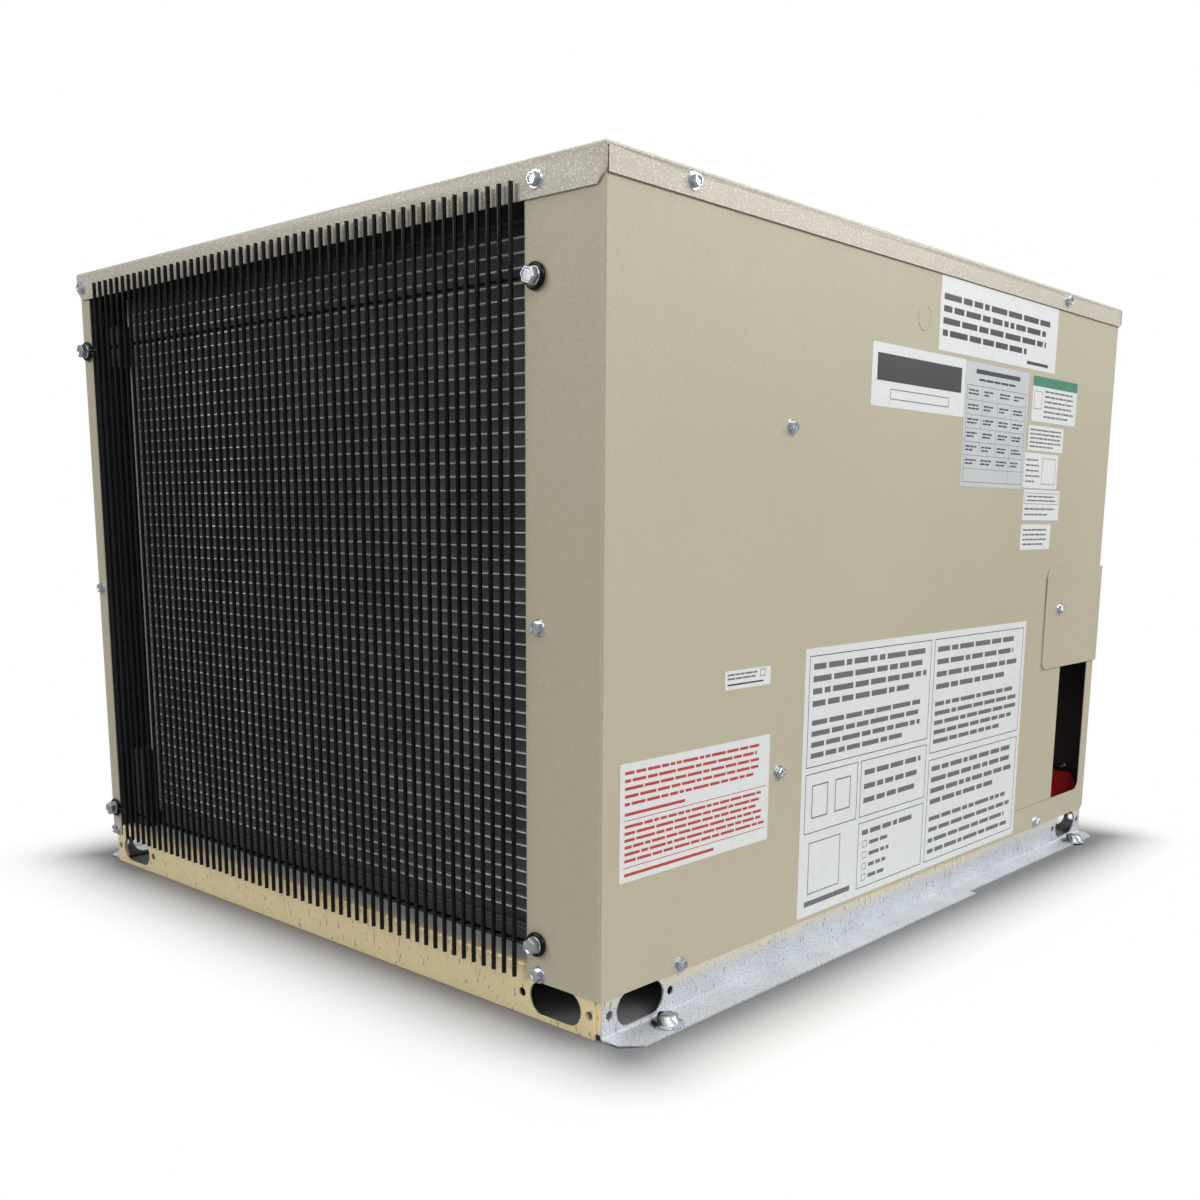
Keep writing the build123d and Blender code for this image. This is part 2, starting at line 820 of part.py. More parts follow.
def make_rear_panel():
    rear_field_half = lid_x - rear_strip
    field = block(
        (-rear_field_half, inner_y, panel_bottom), (rear_field_half, panel_y, panel_top)
    )
    sheet = field
    strip_y = inner_y - seat_gap - panel_gauge
    strip_out = inner_x - joggle - 1
    for side in (-1, 1):
        near = side * (rear_field_half - joggle)
        far = side * strip_out
        low = deck_top + seat_gap
        sheet += block(
            (min(near, far), strip_y, low), (max(near, far), strip_y + panel_gauge, panel_top)
        )
        edge = side * rear_field_half
        sheet += block(
            (min(near, edge), strip_y, low), (max(near, edge), panel_y, panel_top)
        )
    sheet -= drill((fan_x, panel_y, fan_z), along_y, throat_r + panel_gauge + venturi_hole_gap, 12)
    return drill_panel(sheet)


def make_slot_cover():
    low_x = panel_x + seat_gap
    outline = make_face([
        Line((cover_front_y + cover_chamfer, cover_low_z), (cover_rear_y, cover_low_z)),
        Line((cover_rear_y, cover_low_z), (cover_rear_y, cover_top_z)),
        Line((cover_rear_y, cover_top_z), (cover_front_y + cover_round, cover_top_z)),
        RadiusArc(
            (cover_front_y + cover_round, cover_top_z), (cover_front_y, cover_top_z - cover_round),
            -cover_round, short_sagitta=True,
        ),
        Line((cover_front_y, cover_top_z - cover_round), (cover_front_y, cover_low_z + cover_chamfer)),
        Line((cover_front_y, cover_low_z + cover_chamfer), (cover_front_y + cover_chamfer, cover_low_z)),
    ])
    plate = extrude(Plane.YZ.offset(low_x) * outline, cover_gauge)
    slot_plane = Plane(
        origin=(low_x, cover_screw_y + cover_travel / 2, cover_screw_z), x_dir=along_y, z_dir=along_x
    )
    slot = SlotOverall(cover_travel + 2 * screw_hole_r, 2 * screw_hole_r)
    return plate - extrude(slot_plane * slot, cover_gauge * 2, both=True)


def make_panel_screws():
    screws = [hex_screw(seat, inward, screw_length) for seat, inward in panel_screw_places()]
    cover_seat = (panel_x + cover_gauge + 2 * seat_gap, cover_screw_y, cover_screw_z)
    screws.append(hex_screw(cover_seat, (-1, 0, 0), screw_length))
    return group(*screws)


# ---- guards ----
def wire_guard(face, xs, low_z, top_z, rail_zs, bolt_xs, bolt_zs):
    """Spot-welded guard: uprights over level wires, whose ends are eyes round the bolts."""
    wires = []
    for z in rail_zs:
        has_eyes = z in bolt_zs
        left, right = bolt_xs if has_eyes else (xs[0] - wire_overrun, xs[-1] + wire_overrun)
        trim = eye_hole_r + wire_r if has_eyes else 0
        rail = rod((left + trim, face * rail_y, z), along_x, wire_r, right - left - 2 * trim)
        for x in bolt_xs if has_eyes else ():
            eye_start = (x, face * (rail_y - wire_r + eye_trim), z)
            rail += ring(eye_start, (0, face, 0), eye_r, eye_hole_r, 2 * (wire_r - eye_trim))
        wires.append(rail)
    for x in xs:
        wires.append(rod((x, face * upright_y, low_z), along_z, wire_r, top_z - low_z))
    return group(*wires)


def make_coil_guard():
    xs = [front_wire_x + i * wire_pitch for i in range(front_wire_count)]
    top = height - wire_top_drop
    return wire_guard(-1, xs, wire_low_z, top, guard_bolt_z, guard_bolt_xs, guard_bolt_z)


def make_rear_guard():
    first = fan_x - (rear_wire_count - 1) * wire_pitch / 2
    xs = [first + i * wire_pitch for i in range(rear_wire_count)]
    bolt_xs = (fan_x - rear_bolt_x, fan_x + rear_bolt_x)
    rails = (*rear_guard_bolt_z, fan_z)
    reach = throat_r + rear_wire_over
    return wire_guard(1, xs, fan_z - reach, fan_z + reach, rails, bolt_xs, rear_guard_bolt_z)


def make_guard_bolts():
    seat_y = rail_y + wire_r
    bolts = [guard_bolt((x, -seat_y, z), (0, 1, 0)) for x, z in front_bolt_places()]
    bolts += [guard_bolt((x, seat_y, z), (0, -1, 0)) for x, z in rear_bolt_places()]
    return group(*bolts)


# ---- coil ----
def make_coil_tubes():
    plane = Plane(origin=(coil_left_x, coil_y, 0), x_dir=along_y, z_dir=along_x)
    flat = extrude(plane * SlotOverall(coil_thick, tube_thick), coil_right_x - coil_left_x)
    return group(*[Pos(0, 0, first_tube_z + i * tube_pitch) * flat for i in range(tube_count)])


def make_coil_fins():
    strips = []
    gap = tube_pitch - tube_thick
    for i in range(tube_count + 1):
        low = first_tube_z + (i - 1) * tube_pitch + tube_thick / 2
        strips.append(block(
            (coil_left_x + fin_end_room, coil_front_y + fin_setback, low),
            (coil_right_x - fin_end_room, coil_back_y - fin_setback, low + gap),
        ))
    return group(*strips)


def make_side_plates():
    """Flat plates brazed on below the first fins and above the last."""
    fins_low = coil_low_z + tube_thick / 2
    fins_top = coil_top_z - tube_thick / 2
    return group(*[
        block((coil_left_x, coil_front_y, z), (coil_right_x, coil_back_y, z + plate_thick))
        for z in (fins_low - plate_thick, fins_top)
    ])


def header_section(side, grow=0.0):
    """D-shaped header in plan; its flat faces the tubes."""
    centre_x = (coil_left_x - header_flat) if side < 0 else (coil_right_x + header_flat)
    flat_x = coil_left_x if side < 0 else coil_right_x
    r = header_r + grow
    round_part = Pos(centre_x, coil_y) * Circle(r)
    trim = Pos(flat_x - side * 2 * r, coil_y) * Rectangle(4 * r, 4 * r)
    return round_part - trim


def make_header(side):
    """Header with a rolled groove below each end cap."""
    low = coil_low_z - header_low_over
    top = coil_top_z + header_top_over
    body = extrude(Plane.XY.offset(low) * header_section(side), top - low)
    rim = header_section(side) - header_section(side, -header_groove)
    for z in (low + header_cap, top - header_cap - header_groove):
        body -= extrude(Plane.XY.offset(z) * rim, header_groove)
    return body


def make_isolators():
    blocks = []
    for side in (-1, 1):
        near = (coil_left_x - block_end) if side < 0 else (coil_right_x + block_end)
        wall = side * (inner_x - seat_gap)
        hollow = header_hollow(side)
        spans = ((deck_top, block_low_top_z), [height - drop for drop in block_top_drops])
        for low, top in spans:
            pad = block(
                (min(near, wall), coil_front_y - block_front, low),
                (max(near, wall), coil_back_y + block_back, top),
            )
            blocks.append(pad - hollow)
    return group(*blocks)


def header_hollow(side):
    section = header_section(side, block_gap)
    return extrude(Plane.XY.offset(coil_low_z - header_low_over - block_gap) * section, height)


def make_coil_channel():
    front = coil_front_y - channel_overhang + channel_gauge / 2
    back = coil_back_y + channel_overhang - channel_gauge / 2
    top = coil_low_z + tube_thick / 2 - plate_thick - channel_gauge / 2 - seat_gap
    start = coil_left_x + channel_end_room
    return folded(
        [(front, deck_top), (front, top), (back, top), (back, deck_top)],
        channel_gauge, bend, Plane.YZ.offset(start), coil_right_x - channel_end_room - start,
    )


def make_top_baffle():
    low = coil_top_z - tube_thick / 2 + plate_thick + seat_gap
    return block(
        (coil_left_x + channel_end_room, coil_front_y - channel_overhang, low),
        (coil_right_x - channel_end_room, coil_back_y + channel_overhang, panel_top),
    )


# ---- fan ----
def make_venturi():
    """Spun ring: bell mouth to the inside, throat, and a flange on the rear panel."""
    flange_y = inner_y - seat_gap
    start_y = flange_y - throat_length
    profile = FilletPolyline(
        (throat_r + bell_r + bell_lip, start_y + panel_gauge / 2),
        (throat_r + panel_gauge / 2, start_y + panel_gauge / 2),
        (throat_r + panel_gauge / 2, flange_y - panel_gauge / 2),
        (venturi_flange_r, flange_y - panel_gauge / 2),
        radius=[bell_r, bend],
    )
    section = Plane.XY * trace(profile, panel_gauge)
    spun = revolve(section, Axis.Y)
    return Pos(fan_x, 0, fan_z) * spun


def blade_section(r):
    """Cambered plate section of a blade at radius r, in the plane square to that radius."""
    share = (r - hub_r) / (tip_r - hub_r)
    chord = root_chord + share * (tip_chord - root_chord)
    pitch = root_pitch + share * (tip_pitch - root_pitch)
    rise = camber * chord
    half = chord / 2
    outline = make_face([
        ThreePointArc((-half, 0), (0, rise), (half, 0)),
        Line((half, 0), (half, -blade_gauge)),
        ThreePointArc((half, -blade_gauge), (0, rise - blade_gauge), (-half, -blade_gauge)),
        Line((-half, -blade_gauge), (-half, 0)),
    ])
    sweep_back = blade_sweep * share * share
    plane = Plane(origin=(sweep_back, 0, r), x_dir=along_x, z_dir=along_z)
    return plane * Rot(0, 0, pitch) * outline


def make_propeller():
    """Hub cup, centre boss and twisted blades as one casting, turning about Y."""
    span = tip_r - hub_r
    stations = [hub_r + share * span for share in blade_stations]
    blade = loft([blade_section(r) for r in stations])
    envelope = ring((0, -blade_depth / 2, 0), along_y, tip_r, hub_r - hub_wall / 2, blade_depth)
    blade = blade & envelope
    front = -hub_length / 2
    cup = ring((0, front, 0), along_y, hub_r, hub_r - hub_wall, hub_length)
    face = ring((0, front, 0), along_y, hub_r, shaft_r + shaft_fit, hub_wall)
    boss = ring((0, front, 0), along_y, boss_r, shaft_r + shaft_fit, hub_length)
    fan = cup + face + boss
    for i in range(blade_count):
        fan += Rot(0, i * 360 / blade_count, 0) * blade
    return Pos(fan_x, blade_plane_y, fan_z) * fan


def make_shaft():
    start = motor_front_y - shaft_depth
    end = blade_plane_y + hub_length / 2
    return rod((fan_x, start, fan_z), along_y, shaft_r, end - start)


def make_motor():
    back = motor_front_y - motor_length
    plane = Plane(origin=(fan_x, 0, fan_z), x_dir=along_x, z_dir=(0, 0, 1))
    front = motor_front_y + motor_boss
    outline = Polyline(
        (0, back), (motor_r - motor_back_shoulder, back), (motor_r, back + motor_shoulder),
        (motor_r, motor_front_y - motor_shoulder), (motor_r - motor_shoulder, motor_front_y),
        (motor_boss_r, motor_front_y), (motor_boss_r - motor_boss_taper, front), (0, front),
        close=True,
    )
    body = revolve(plane * make_face(outline), Axis((fan_x, 0, fan_z), along_y))
    depth = motor_bore + 2 * motor_boss
    bore = rod((fan_x, motor_front_y - motor_bore, fan_z), along_y, shaft_r + shaft_fit, depth)
    vents = []
    for i in range(vent_count):
        vent = Pos(vent_r, 0) * SlotOverall(vent_length, vent_width)
        face = Plane(origin=(fan_x, motor_front_y - vent_depth, fan_z), x_dir=along_x, z_dir=along_y)
        vents.append(extrude(face * Rot(0, 0, i * 360 / vent_count) * vent, 2 * vent_depth))
    return body - bore - vents


def clamp_ears(inner, band_y):
    """Two ears under the band, drawn together by a bolt."""
    root = fan_z - inner
    ears = block(
        (fan_x - ear_gap / 2 - band_gauge, band_y, root - ear_height),
        (fan_x + ear_gap / 2 + band_gauge, band_y + band_width, root),
    )
    middle = (band_y + band_width / 2, root - ear_height / 2 - band_gauge)
    reach = ear_gap / 2 + band_gauge
    bolt = rod((fan_x - reach, *middle), along_x, ear_bolt_r, 2 * reach)
    bolt += hexagon((fan_x + reach, *middle), along_x, ear_bolt_af, ear_bolt_head)
    bolt += hexagon((fan_x - reach, *middle), (-1, 0, 0), ear_bolt_af, ear_bolt_head)
    return ears + bolt


def ear_slit(inner, band_y):
    """The gap between the ears, up through the band; the bolt's shank crosses it."""
    root = fan_z - inner
    slit = block(
        (fan_x - ear_gap / 2, band_y - 1, root - ear_height - 1),
        (fan_x + ear_gap / 2, band_y + band_width + 1, root + ear_height),
    )
    middle = (band_y + band_width / 2, root - ear_height / 2 - band_gauge)
    return slit - rod((fan_x - ear_gap, *middle), along_x, ear_bolt_r, 2 * ear_gap)


def make_motor_bracket():
    band_y = motor_front_y - motor_length / 2 - band_width / 2
    inner = motor_r + band_gap
    band = ring((fan_x, band_y, fan_z), along_y, inner + band_gauge, inner, band_width)
    mid_y = band_y + band_width / 2
    foot_y = inner_y - arm_foot
    bracket = band + clamp_ears(inner, band_y) - ear_slit(inner, band_y)
    for x, z in rear_bolt_places():
        reach = sqrt((x - fan_x) ** 2 + (z - fan_z) ** 2)
        ux, uz = (x - fan_x) / reach, (z - fan_z) / reach
        start = inner + band_gauge / 2
        points = [
            (fan_x + start * ux, mid_y, fan_z + start * uz),
            (x - arm_offset * ux, mid_y, z - arm_offset * uz),
            (x - arm_offset * ux, foot_y + arm_foot / 2, z - arm_offset * uz),
        ]
        foot = rod((x, foot_y, z), along_y, arm_foot_r, arm_foot)
        foot += rod((points[1][0], foot_y, points[1][2]), along_y, arm_foot_r, arm_foot)
        bracket += tube_run(points, arm_r, arm_bend) + foot
    reach = 2 * bolt_length
    bolt_cuts = [drill((x, panel_y, z), along_y, bolt_hole_r, reach) for x, z in rear_bolt_places()]
    motor_space = rod((fan_x, band_y - arm_bend, fan_z), along_y, inner, band_width + 2 * arm_bend)
    return bracket - bolt_cuts - motor_space


# ---- pressed vessels ----
def vessel(radius, low, top, dome, knuckle):
    """Upright tank with dished ends, each a spherical cap blended into the wall."""
    ball = (radius ** 2 + dome ** 2) / (2 * dome)
    turn = asin(radius / ball) / 2
    mid_r, mid_rise = ball * sin(turn), ball * (1 - cos(turn))
    half = make_face([
        ThreePointArc((0, low), (mid_r, low + mid_rise), (radius, low + dome)),
        Line((radius, low + dome), (radius, top - dome)),
        ThreePointArc((radius, top - dome), (mid_r, top - mid_rise), (0, top)),
        Line((0, top), (0, low)),
    ])
    rim = half.vertices().filter_by_position(Axis.X, radius - 1, radius + 1)
    return revolve(Plane.XZ * fillet(rim, knuckle), Axis.Z)


# ---- compressor ----
def make_compressor():
    shell = vessel(comp_r, comp_low_z - weld_sink, comp_top_z, comp_dome, comp_knuckle)
    seam_z = comp_top_z - comp_dome - seam_drop
    weld = ring((0, 0, seam_z), along_z, comp_r + seam_proud, comp_r - seam_proud, seam_height)
    rims = weld.edges().filter_by(GeomType.CIRCLE).group_by(SortBy.RADIUS)[-1]
    weld = fillet(rims, seam_round)
    outline = RectangleRounded(2 * foot_half, 2 * foot_half, foot_corner_r)
    plate = extrude(Plane.XY.offset(comp_low_z - foot_plate) * outline, foot_plate)
    for i in (-1, 1):
        for j in (-1, 1):
            place = (i * foot_bolt, j * foot_bolt, comp_low_z - foot_plate / 2)
            plate -= drill(place, along_z, foot_bolt_r + foot_bolt_clearance)
    body = shell + weld + plate
    root = comp_top_z - comp_dome
    stub_wall_r = discharge_r + discharge_wall
    body += rod((discharge_offset, 0, root), along_z, stub_wall_r, comp_dome + discharge_stub)
    body += rod((comp_r - stub_root, 0, suction_port_z), along_x, stub_r, stub_root + stub_out)
    lug_plane = Plane(origin=(lug_offset, lug_thick / 2, root), x_dir=along_x, z_dir=(0, -1, 0))
    lug_rise = comp_dome + lug_height
    lug = Pos(0, lug_rise / 2) * Rectangle(lug_width, lug_rise) + Pos(0, lug_rise) * Circle(lug_width / 2)
    body += extrude(lug_plane * (lug - Pos(0, lug_rise) * Circle(lug_hole_r)), lug_thick)
    return Pos(comp_x, comp_y, 0) * body


def make_feet_grommets():
    pads = []
    for i in (-1, 1):
        for j in (-1, 1):
            place = (comp_x + i * foot_bolt, comp_y + j * foot_bolt, deck_top)
            pad = ring(place, along_z, grommet_r, grommet_bore, grommet_height)
            third = grommet_height / 3
            waist = (place[0], place[1], deck_top + third)
            pads.append(pad - ring(waist, along_z, grommet_r + 1, grommet_r - grommet_waist, third))
    return group(*pads)


def make_feet_bolts():
    bolts = []
    for i in (-1, 1):
        for j in (-1, 1):
            x, y = comp_x + i * foot_bolt, comp_y + j * foot_bolt
            bolt = rod((x, y, deck_top), along_z, foot_bolt_r, comp_low_z - deck_top)
            bolt += rod((x, y, comp_low_z), along_z, foot_washer_r, foot_washer)
            bolt += hexagon((x, y, comp_low_z), along_z, foot_bolt_af, foot_washer + foot_bolt_head)
            bolts.append(bolt)
    return group(*bolts)


def make_heater():
    inner = comp_r + heater_fit
    return ring((comp_x, comp_y, heater_z), along_z, inner + heater_gauge, inner, heater_width)


def make_terminal_cover():
    near = comp_y - comp_r - terminal_d
    low, top = terminal_z - terminal_h / 2, terminal_z + terminal_h / 2
    cover = block((comp_x - terminal_w / 2, near, low), (comp_x + terminal_w / 2, comp_y, top))
    cover = fillet(cover.faces().sort_by(Axis.Y)[0].edges(), terminal_round)
    lip_near = near + terminal_round + terminal_lip
    cover += block(
        (comp_x - terminal_w / 2 - terminal_lip, lip_near, low - terminal_lip),
        (comp_x + terminal_w / 2 + terminal_lip, lip_near + terminal_lip_depth, top + terminal_lip),
    )
    reach = comp_r + terminal_fit
    return cover - rod((comp_x, comp_y, low - terminal_h), along_z, reach, 3 * terminal_h)


# ---- receiver ----
def make_receiver():
    tank = vessel(tank_r, tank_low_z, tank_top_z, tank_dome, tank_knuckle)
    for side in (-1, 1):
        base = tank_top_z - tank_dome
        tank += rod((side * tank_stub_offset, 0, base), along_z, tank_stub_r, tank_dome + tank_stub)
    root = tank_top_z - tank_dome
    tank += hexagon((0, relief_offset, root), along_z, relief_af, tank_dome + relief_height)
    tank -= rod((0, relief_offset, tank_top_z), along_z, relief_bore_r, 2 * relief_height)
    seam = (0, 0, (tank_low_z + tank_top_z - tank_seam_height) / 2)
    tank += ring(seam, along_z, tank_r + tank_seam, tank_r - tank_seam, tank_seam_height)
    return Pos(tank_x, tank_y, 0) * tank


def make_receiver_stand():
    rise = tank_low_z - deck_top + skirt_overlap
    stand = ring((0, 0, deck_top), along_z, skirt_r, skirt_r - skirt_gauge, rise)
    stand += ring((0, 0, deck_top), along_z, skirt_foot_r, skirt_r - skirt_gauge, skirt_gauge)
    stand -= Pos(0, 0, -skirt_fit) * vessel(tank_r, tank_low_z, tank_top_z, tank_dome, tank_knuckle)
    middle = (skirt_r + skirt_foot_r) / 2
    for i in (-1, 1):
        for x, y in ((i * middle, 0), (0, i * middle)):
            stand -= drill((x, y, deck_top), along_z, skirt_hole_r)
    return Pos(tank_x, tank_y, 0) * stand


# ---- piping ----
def make_discharge_line():
    x, y = comp_x + discharge_offset, comp_y
    header_x = coil_right_x + header_flat
    level = comp_top_z + discharge_rise
    run_y = coil_back_y + discharge_run
    return tube_run(
        [
            (x, y, comp_top_z + discharge_stub), (x, y, level), (x, run_y, level),
            (header_x, run_y, level), (header_x, coil_y + header_r, level),
        ],
        discharge_r, discharge_bend,
    )


def make_condenser_line():
    """Condensed liquid: foot of the left header to the receiver's inlet."""
    x = coil_left_x - header_flat
    inlet_x = tank_x - tank_stub_offset
    low, level = condenser_outlet_z, tank_top_z + condenser_rise
    run_y = coil_back_y + condenser_run
    return tube_run(
        [
            (x, coil_y + header_r, low), (x, run_y, low), (x, run_y, level),
            (inlet_x, tank_y, level), (inlet_x, tank_y, tank_top_z + tank_stub),
        ],
        liquid_r, liquid_bend,
    )


def make_liquid_line():
    outlet_x = tank_x + tank_stub_offset
    top = tank_top_z + tank_stub
    first = tube_run(
        [
            (outlet_x, tank_y, top), (outlet_x, tank_y, top + liquid_loop),
            (outlet_x, drier_y, top + liquid_loop), (outlet_x, drier_y, liquid_z),
            (drier_left_x, drier_y, liquid_z),
        ],
        liquid_r, liquid_bend,
    )
    second = rod(
        (drier_left_x + drier_length, drier_y, liquid_z), along_x, liquid_r,
        glass_x - drier_left_x - drier_length,
    )
    third = tube_run(
        [
            (glass_x + glass_length, drier_y, liquid_z), (liquid_rise_x, drier_y, liquid_z),
            (liquid_rise_x, valve_y, liquid_z), (valve_inlet_x, valve_y, liquid_z),
        ],
        liquid_r, liquid_bend,
    )
    return group(first, second, third)


def make_suction_line():
    start_x = comp_x + comp_r + stub_out
    return tube_run(
        [
            (start_x, comp_y, suction_port_z), (suction_x, comp_y, suction_port_z),
            (suction_x, comp_y, suction_z), (suction_x, valve_y, suction_z),
            (valve_inlet_x, valve_y, suction_z),
        ],
        suction_r, suction_bend,
    )


def make_drier():
    neck = liquid_r + drier_neck_wall
    shoulder = drier_neck + drier_taper
    outline = Polyline(
        (0, 0), (0, neck), (drier_neck, neck), (shoulder, drier_r),
        (drier_length - shoulder, drier_r), (drier_length - drier_neck, neck),
        (drier_length, neck), (drier_length, 0), close=True,
    )
    body = revolve(make_face(outline), Axis.X)
    return Pos(drier_left_x, drier_y, liquid_z) * body


def make_sight_glass():
    body = rod((glass_x, drier_y, liquid_z), along_x, liquid_r + glass_wall, glass_length)
    mid = glass_x + glass_length / 2
    low = liquid_z - glass_below
    body += rod((mid, drier_y, low), along_z, glass_r, glass_height)
    window_z = low + glass_height - glass_recess
    return body - rod((mid, drier_y, window_z), along_z, glass_r - glass_rim, 2 * glass_recess)


# ---- service valves ----
def make_valve(z, stub_outer, stub_inner):
    """Front-seated valve: line in from -X, stub out to +X, stem towards -Y."""
    y = valve_y
    ahead = (0, -1, 0)
    body = rod((valve_x, bracket_face_y, z), ahead, valve_body_r, bracket_face_y - y + valve_body_front)
    body += rod((valve_inlet_x, y, z), along_x, stub_outer, valve_back_port + port_out)
    body += rod((valve_x, y, z), ahead, valve_neck_r, valve_neck)
    body += rod((valve_x, y, z), ahead, cap_wall_r - valve_thread_gap, valve_thread)
    body -= rod((valve_x + port_out - stub_depth, y, z), along_x, stub_inner, stub_depth + 1)
    return body - rod((valve_x, y - valve_body_front, z), ahead, stem_r + stem_fit, valve_thread)


def make_stem(z):
    y = valve_y - stem_seat
    stem = rod((valve_x, y, z), (0, -1, 0), stem_r, stem_length)
    plane = Plane(origin=(valve_x, y - stem_length, z), z_dir=(0, -1, 0))
    return stem + extrude(plane * Rectangle(stem_square, stem_square), stem_square_length)


def make_cap(z):
    y = valve_y - valve_neck - cap_seat_gap
    cap = hexagon((valve_x, y, z), (0, -1, 0), cap_af, cap_length)
    return cap - rod((valve_x, y + 1, z), (0, -1, 0), cap_wall_r, cap_length + 1 - cap_top)


def make_partition():
    right = inner_x - seat_gap - partition_gauge / 2
    rear = inner_y - seat_gap
    sheet = folded(
        [
            (right, partition_y - partition_flange), (right, partition_y),
            (partition_x, partition_y), (partition_x, rear),
        ],
        partition_gauge, bend, Plane.XY.offset(deck_top), partition_top_z - deck_top,
    )
    for z, r in ((suction_z, suction_r), (liquid_z, liquid_r)):
        sheet -= drill((partition_x, valve_y, z), along_x, r + grommet_rim)
    return sheet


def make_pipe_grommets():
    rings = []
    for z, r in ((suction_z, suction_r), (liquid_z, liquid_r)):
        start = (partition_x - grommet_half, valve_y, z)
        bore, hole = r + grommet_fit, r + grommet_rim
        sleeve = ring(start, along_x, hole - grommet_fit, bore, 2 * grommet_half)
        thick = grommet_half - partition_gauge / 2 - grommet_fit
        lip = ring(start, along_x, hole + grommet_lip, bore, thick)
        rings.append(sleeve + lip)
    return group(*rings)


def make_valve_bracket():
    low = deck_top
    outline = Polyline(
        (bracket_left_x, low), (bracket_right_x, low),
        (bracket_right_x, bracket_short_z - bracket_chamfer_z),
        (bracket_right_x - bracket_chamfer_x, bracket_short_z),
        (bracket_step_x + bracket_step_slope, bracket_short_z),
        (bracket_step_x, bracket_short_z + bracket_step_rise),
        (bracket_step_x, bracket_tall_z - bracket_top_chamfer),
        (bracket_step_x - bracket_top_chamfer, bracket_tall_z),
        (bracket_left_x, bracket_tall_z), close=True,
    )
    plane = Plane(origin=(0, bracket_face_y, 0), x_dir=along_x, z_dir=(0, -1, 0))
    plate = extrude(plane * make_face(outline), -bracket_gauge)
    foot_right_x = bracket_right_x - bracket_foot_room
    foot = block(
        (bracket_left_x, bracket_face_y - bracket_foot, low),
        (foot_right_x, bracket_face_y + bracket_gauge, low + bracket_gauge),
    )
    for x in (bracket_left_x + bracket_step_slope, foot_right_x - bracket_step_slope):
        foot -= drill((x, bracket_face_y - bracket_foot / 2, low), along_z, foot_hole_r)
    return plate + foot


# ---- control box ----
def box_low():
    return (box_back_x, box_front_y, box_low_z)


def box_high():
    return (box_back_x + box_depth, box_front_y + box_length, box_low_z + box_height)


def make_control_box():
    low, high = box_low(), box_high()
    shell = block(low, high)
    shell -= block([v + box_gauge for v in low], (high[0] + 1, high[1] - box_gauge, high[2] - box_gauge))
    shell -= drill((high[0] - conduit_inset, (low[1] + high[1]) / 2, low[2]), along_z, conduit_r)
    return shell


def make_control_cover():
    low, high = box_low(), box_high()
    g = box_gauge + box_gap
    cover = block((high[0] - box_lip, low[1] - g, low[2] - g), (high[0] + g, high[1] + g, high[2] + g))
    cover -= block(
        (high[0] - box_lip - 1, low[1] - box_gap, low[2] - box_gap),
        (high[0] + box_gap, high[1] + box_gap, high[2] + box_gap),
    )
    return cover


def make_control_stand():
    low, high = box_low(), box_high()
    front, back = low[1] + stand_inset, high[1] - stand_inset
    x = low[0] + box_gauge
    return folded(
        [(x + stand_flange, front), (x, front), (x, back), (x + stand_flange, back)],
        box_gauge, bend, Plane.XY.offset(deck_top), low[2] - seat_gap - deck_top,
    )


def make_contactor():
    dx, dy, dz = contactor
    x = box_back_x + box_gauge
    body = block(
        (x, contactor_y - dy / 2, contactor_z - dz / 2),
        (x + dx, contactor_y + dy / 2, contactor_z + dz / 2),
    )
    rise = contactor_step_height
    step = block(
        (x + dx * (1 - contactor_step), contactor_y - dy / 2, contactor_z + dz / 2 - rise),
        (x + dx, contactor_y + dy / 2, contactor_z + dz / 2),
    )
    low_step = Pos(0, 0, rise - dz) * step
    px, py, pz = plunger
    pocket = block(
        (x + dx + plunger_proud - px - plunger_travel - plunger_gap,
         contactor_y - py / 2 - plunger_gap, contactor_z - pz / 2 - plunger_gap),
        (x + dx + 1, contactor_y + py / 2 + plunger_gap, contactor_z + pz / 2 + plunger_gap),
    )
    return body - step - low_step - pocket


def make_plunger():
    px, py, pz = plunger
    x = box_back_x + box_gauge + contactor[0] + plunger_proud
    return block(
        (x - px, contactor_y - py / 2, contactor_z - pz / 2),
        (x, contactor_y + py / 2, contactor_z + pz / 2),
    )


def make_capacitor():
    x = box_back_x + box_gauge + capacitor_r + capacitor_fit
    top = capacitor_z + capacitor_length
    can = rod((x, capacitor_y, capacitor_z), along_z, capacitor_r, capacitor_length)
    for side in (-1, 1):
        y = capacitor_y + side * tab_offset
        can += block(
            (x - tab_half, y - tab_thick / 2, top), (x + tab_half, y + tab_thick / 2, top + tab_height)
        )
    return can


def make_terminal_strip():
    dx, dy, dz = terminal_strip
    x = box_back_x + box_gauge
    y0 = box_front_y + terminal_strip_front
    low, top = terminal_strip_z - dz / 2, terminal_strip_z + dz / 2
    strip = block((x, y0, low), (x + dx, y0 + dy, top))
    pitch = dy / terminal_cells
    for i in range(terminal_cells):
        strip -= block(
            (x + dx * (1 - terminal_cell_depth), y0 + i * pitch + terminal_wall, low - 1),
            (x + dx + 1, y0 + (i + 1) * pitch - terminal_wall, top + 1),
        )
    return strip


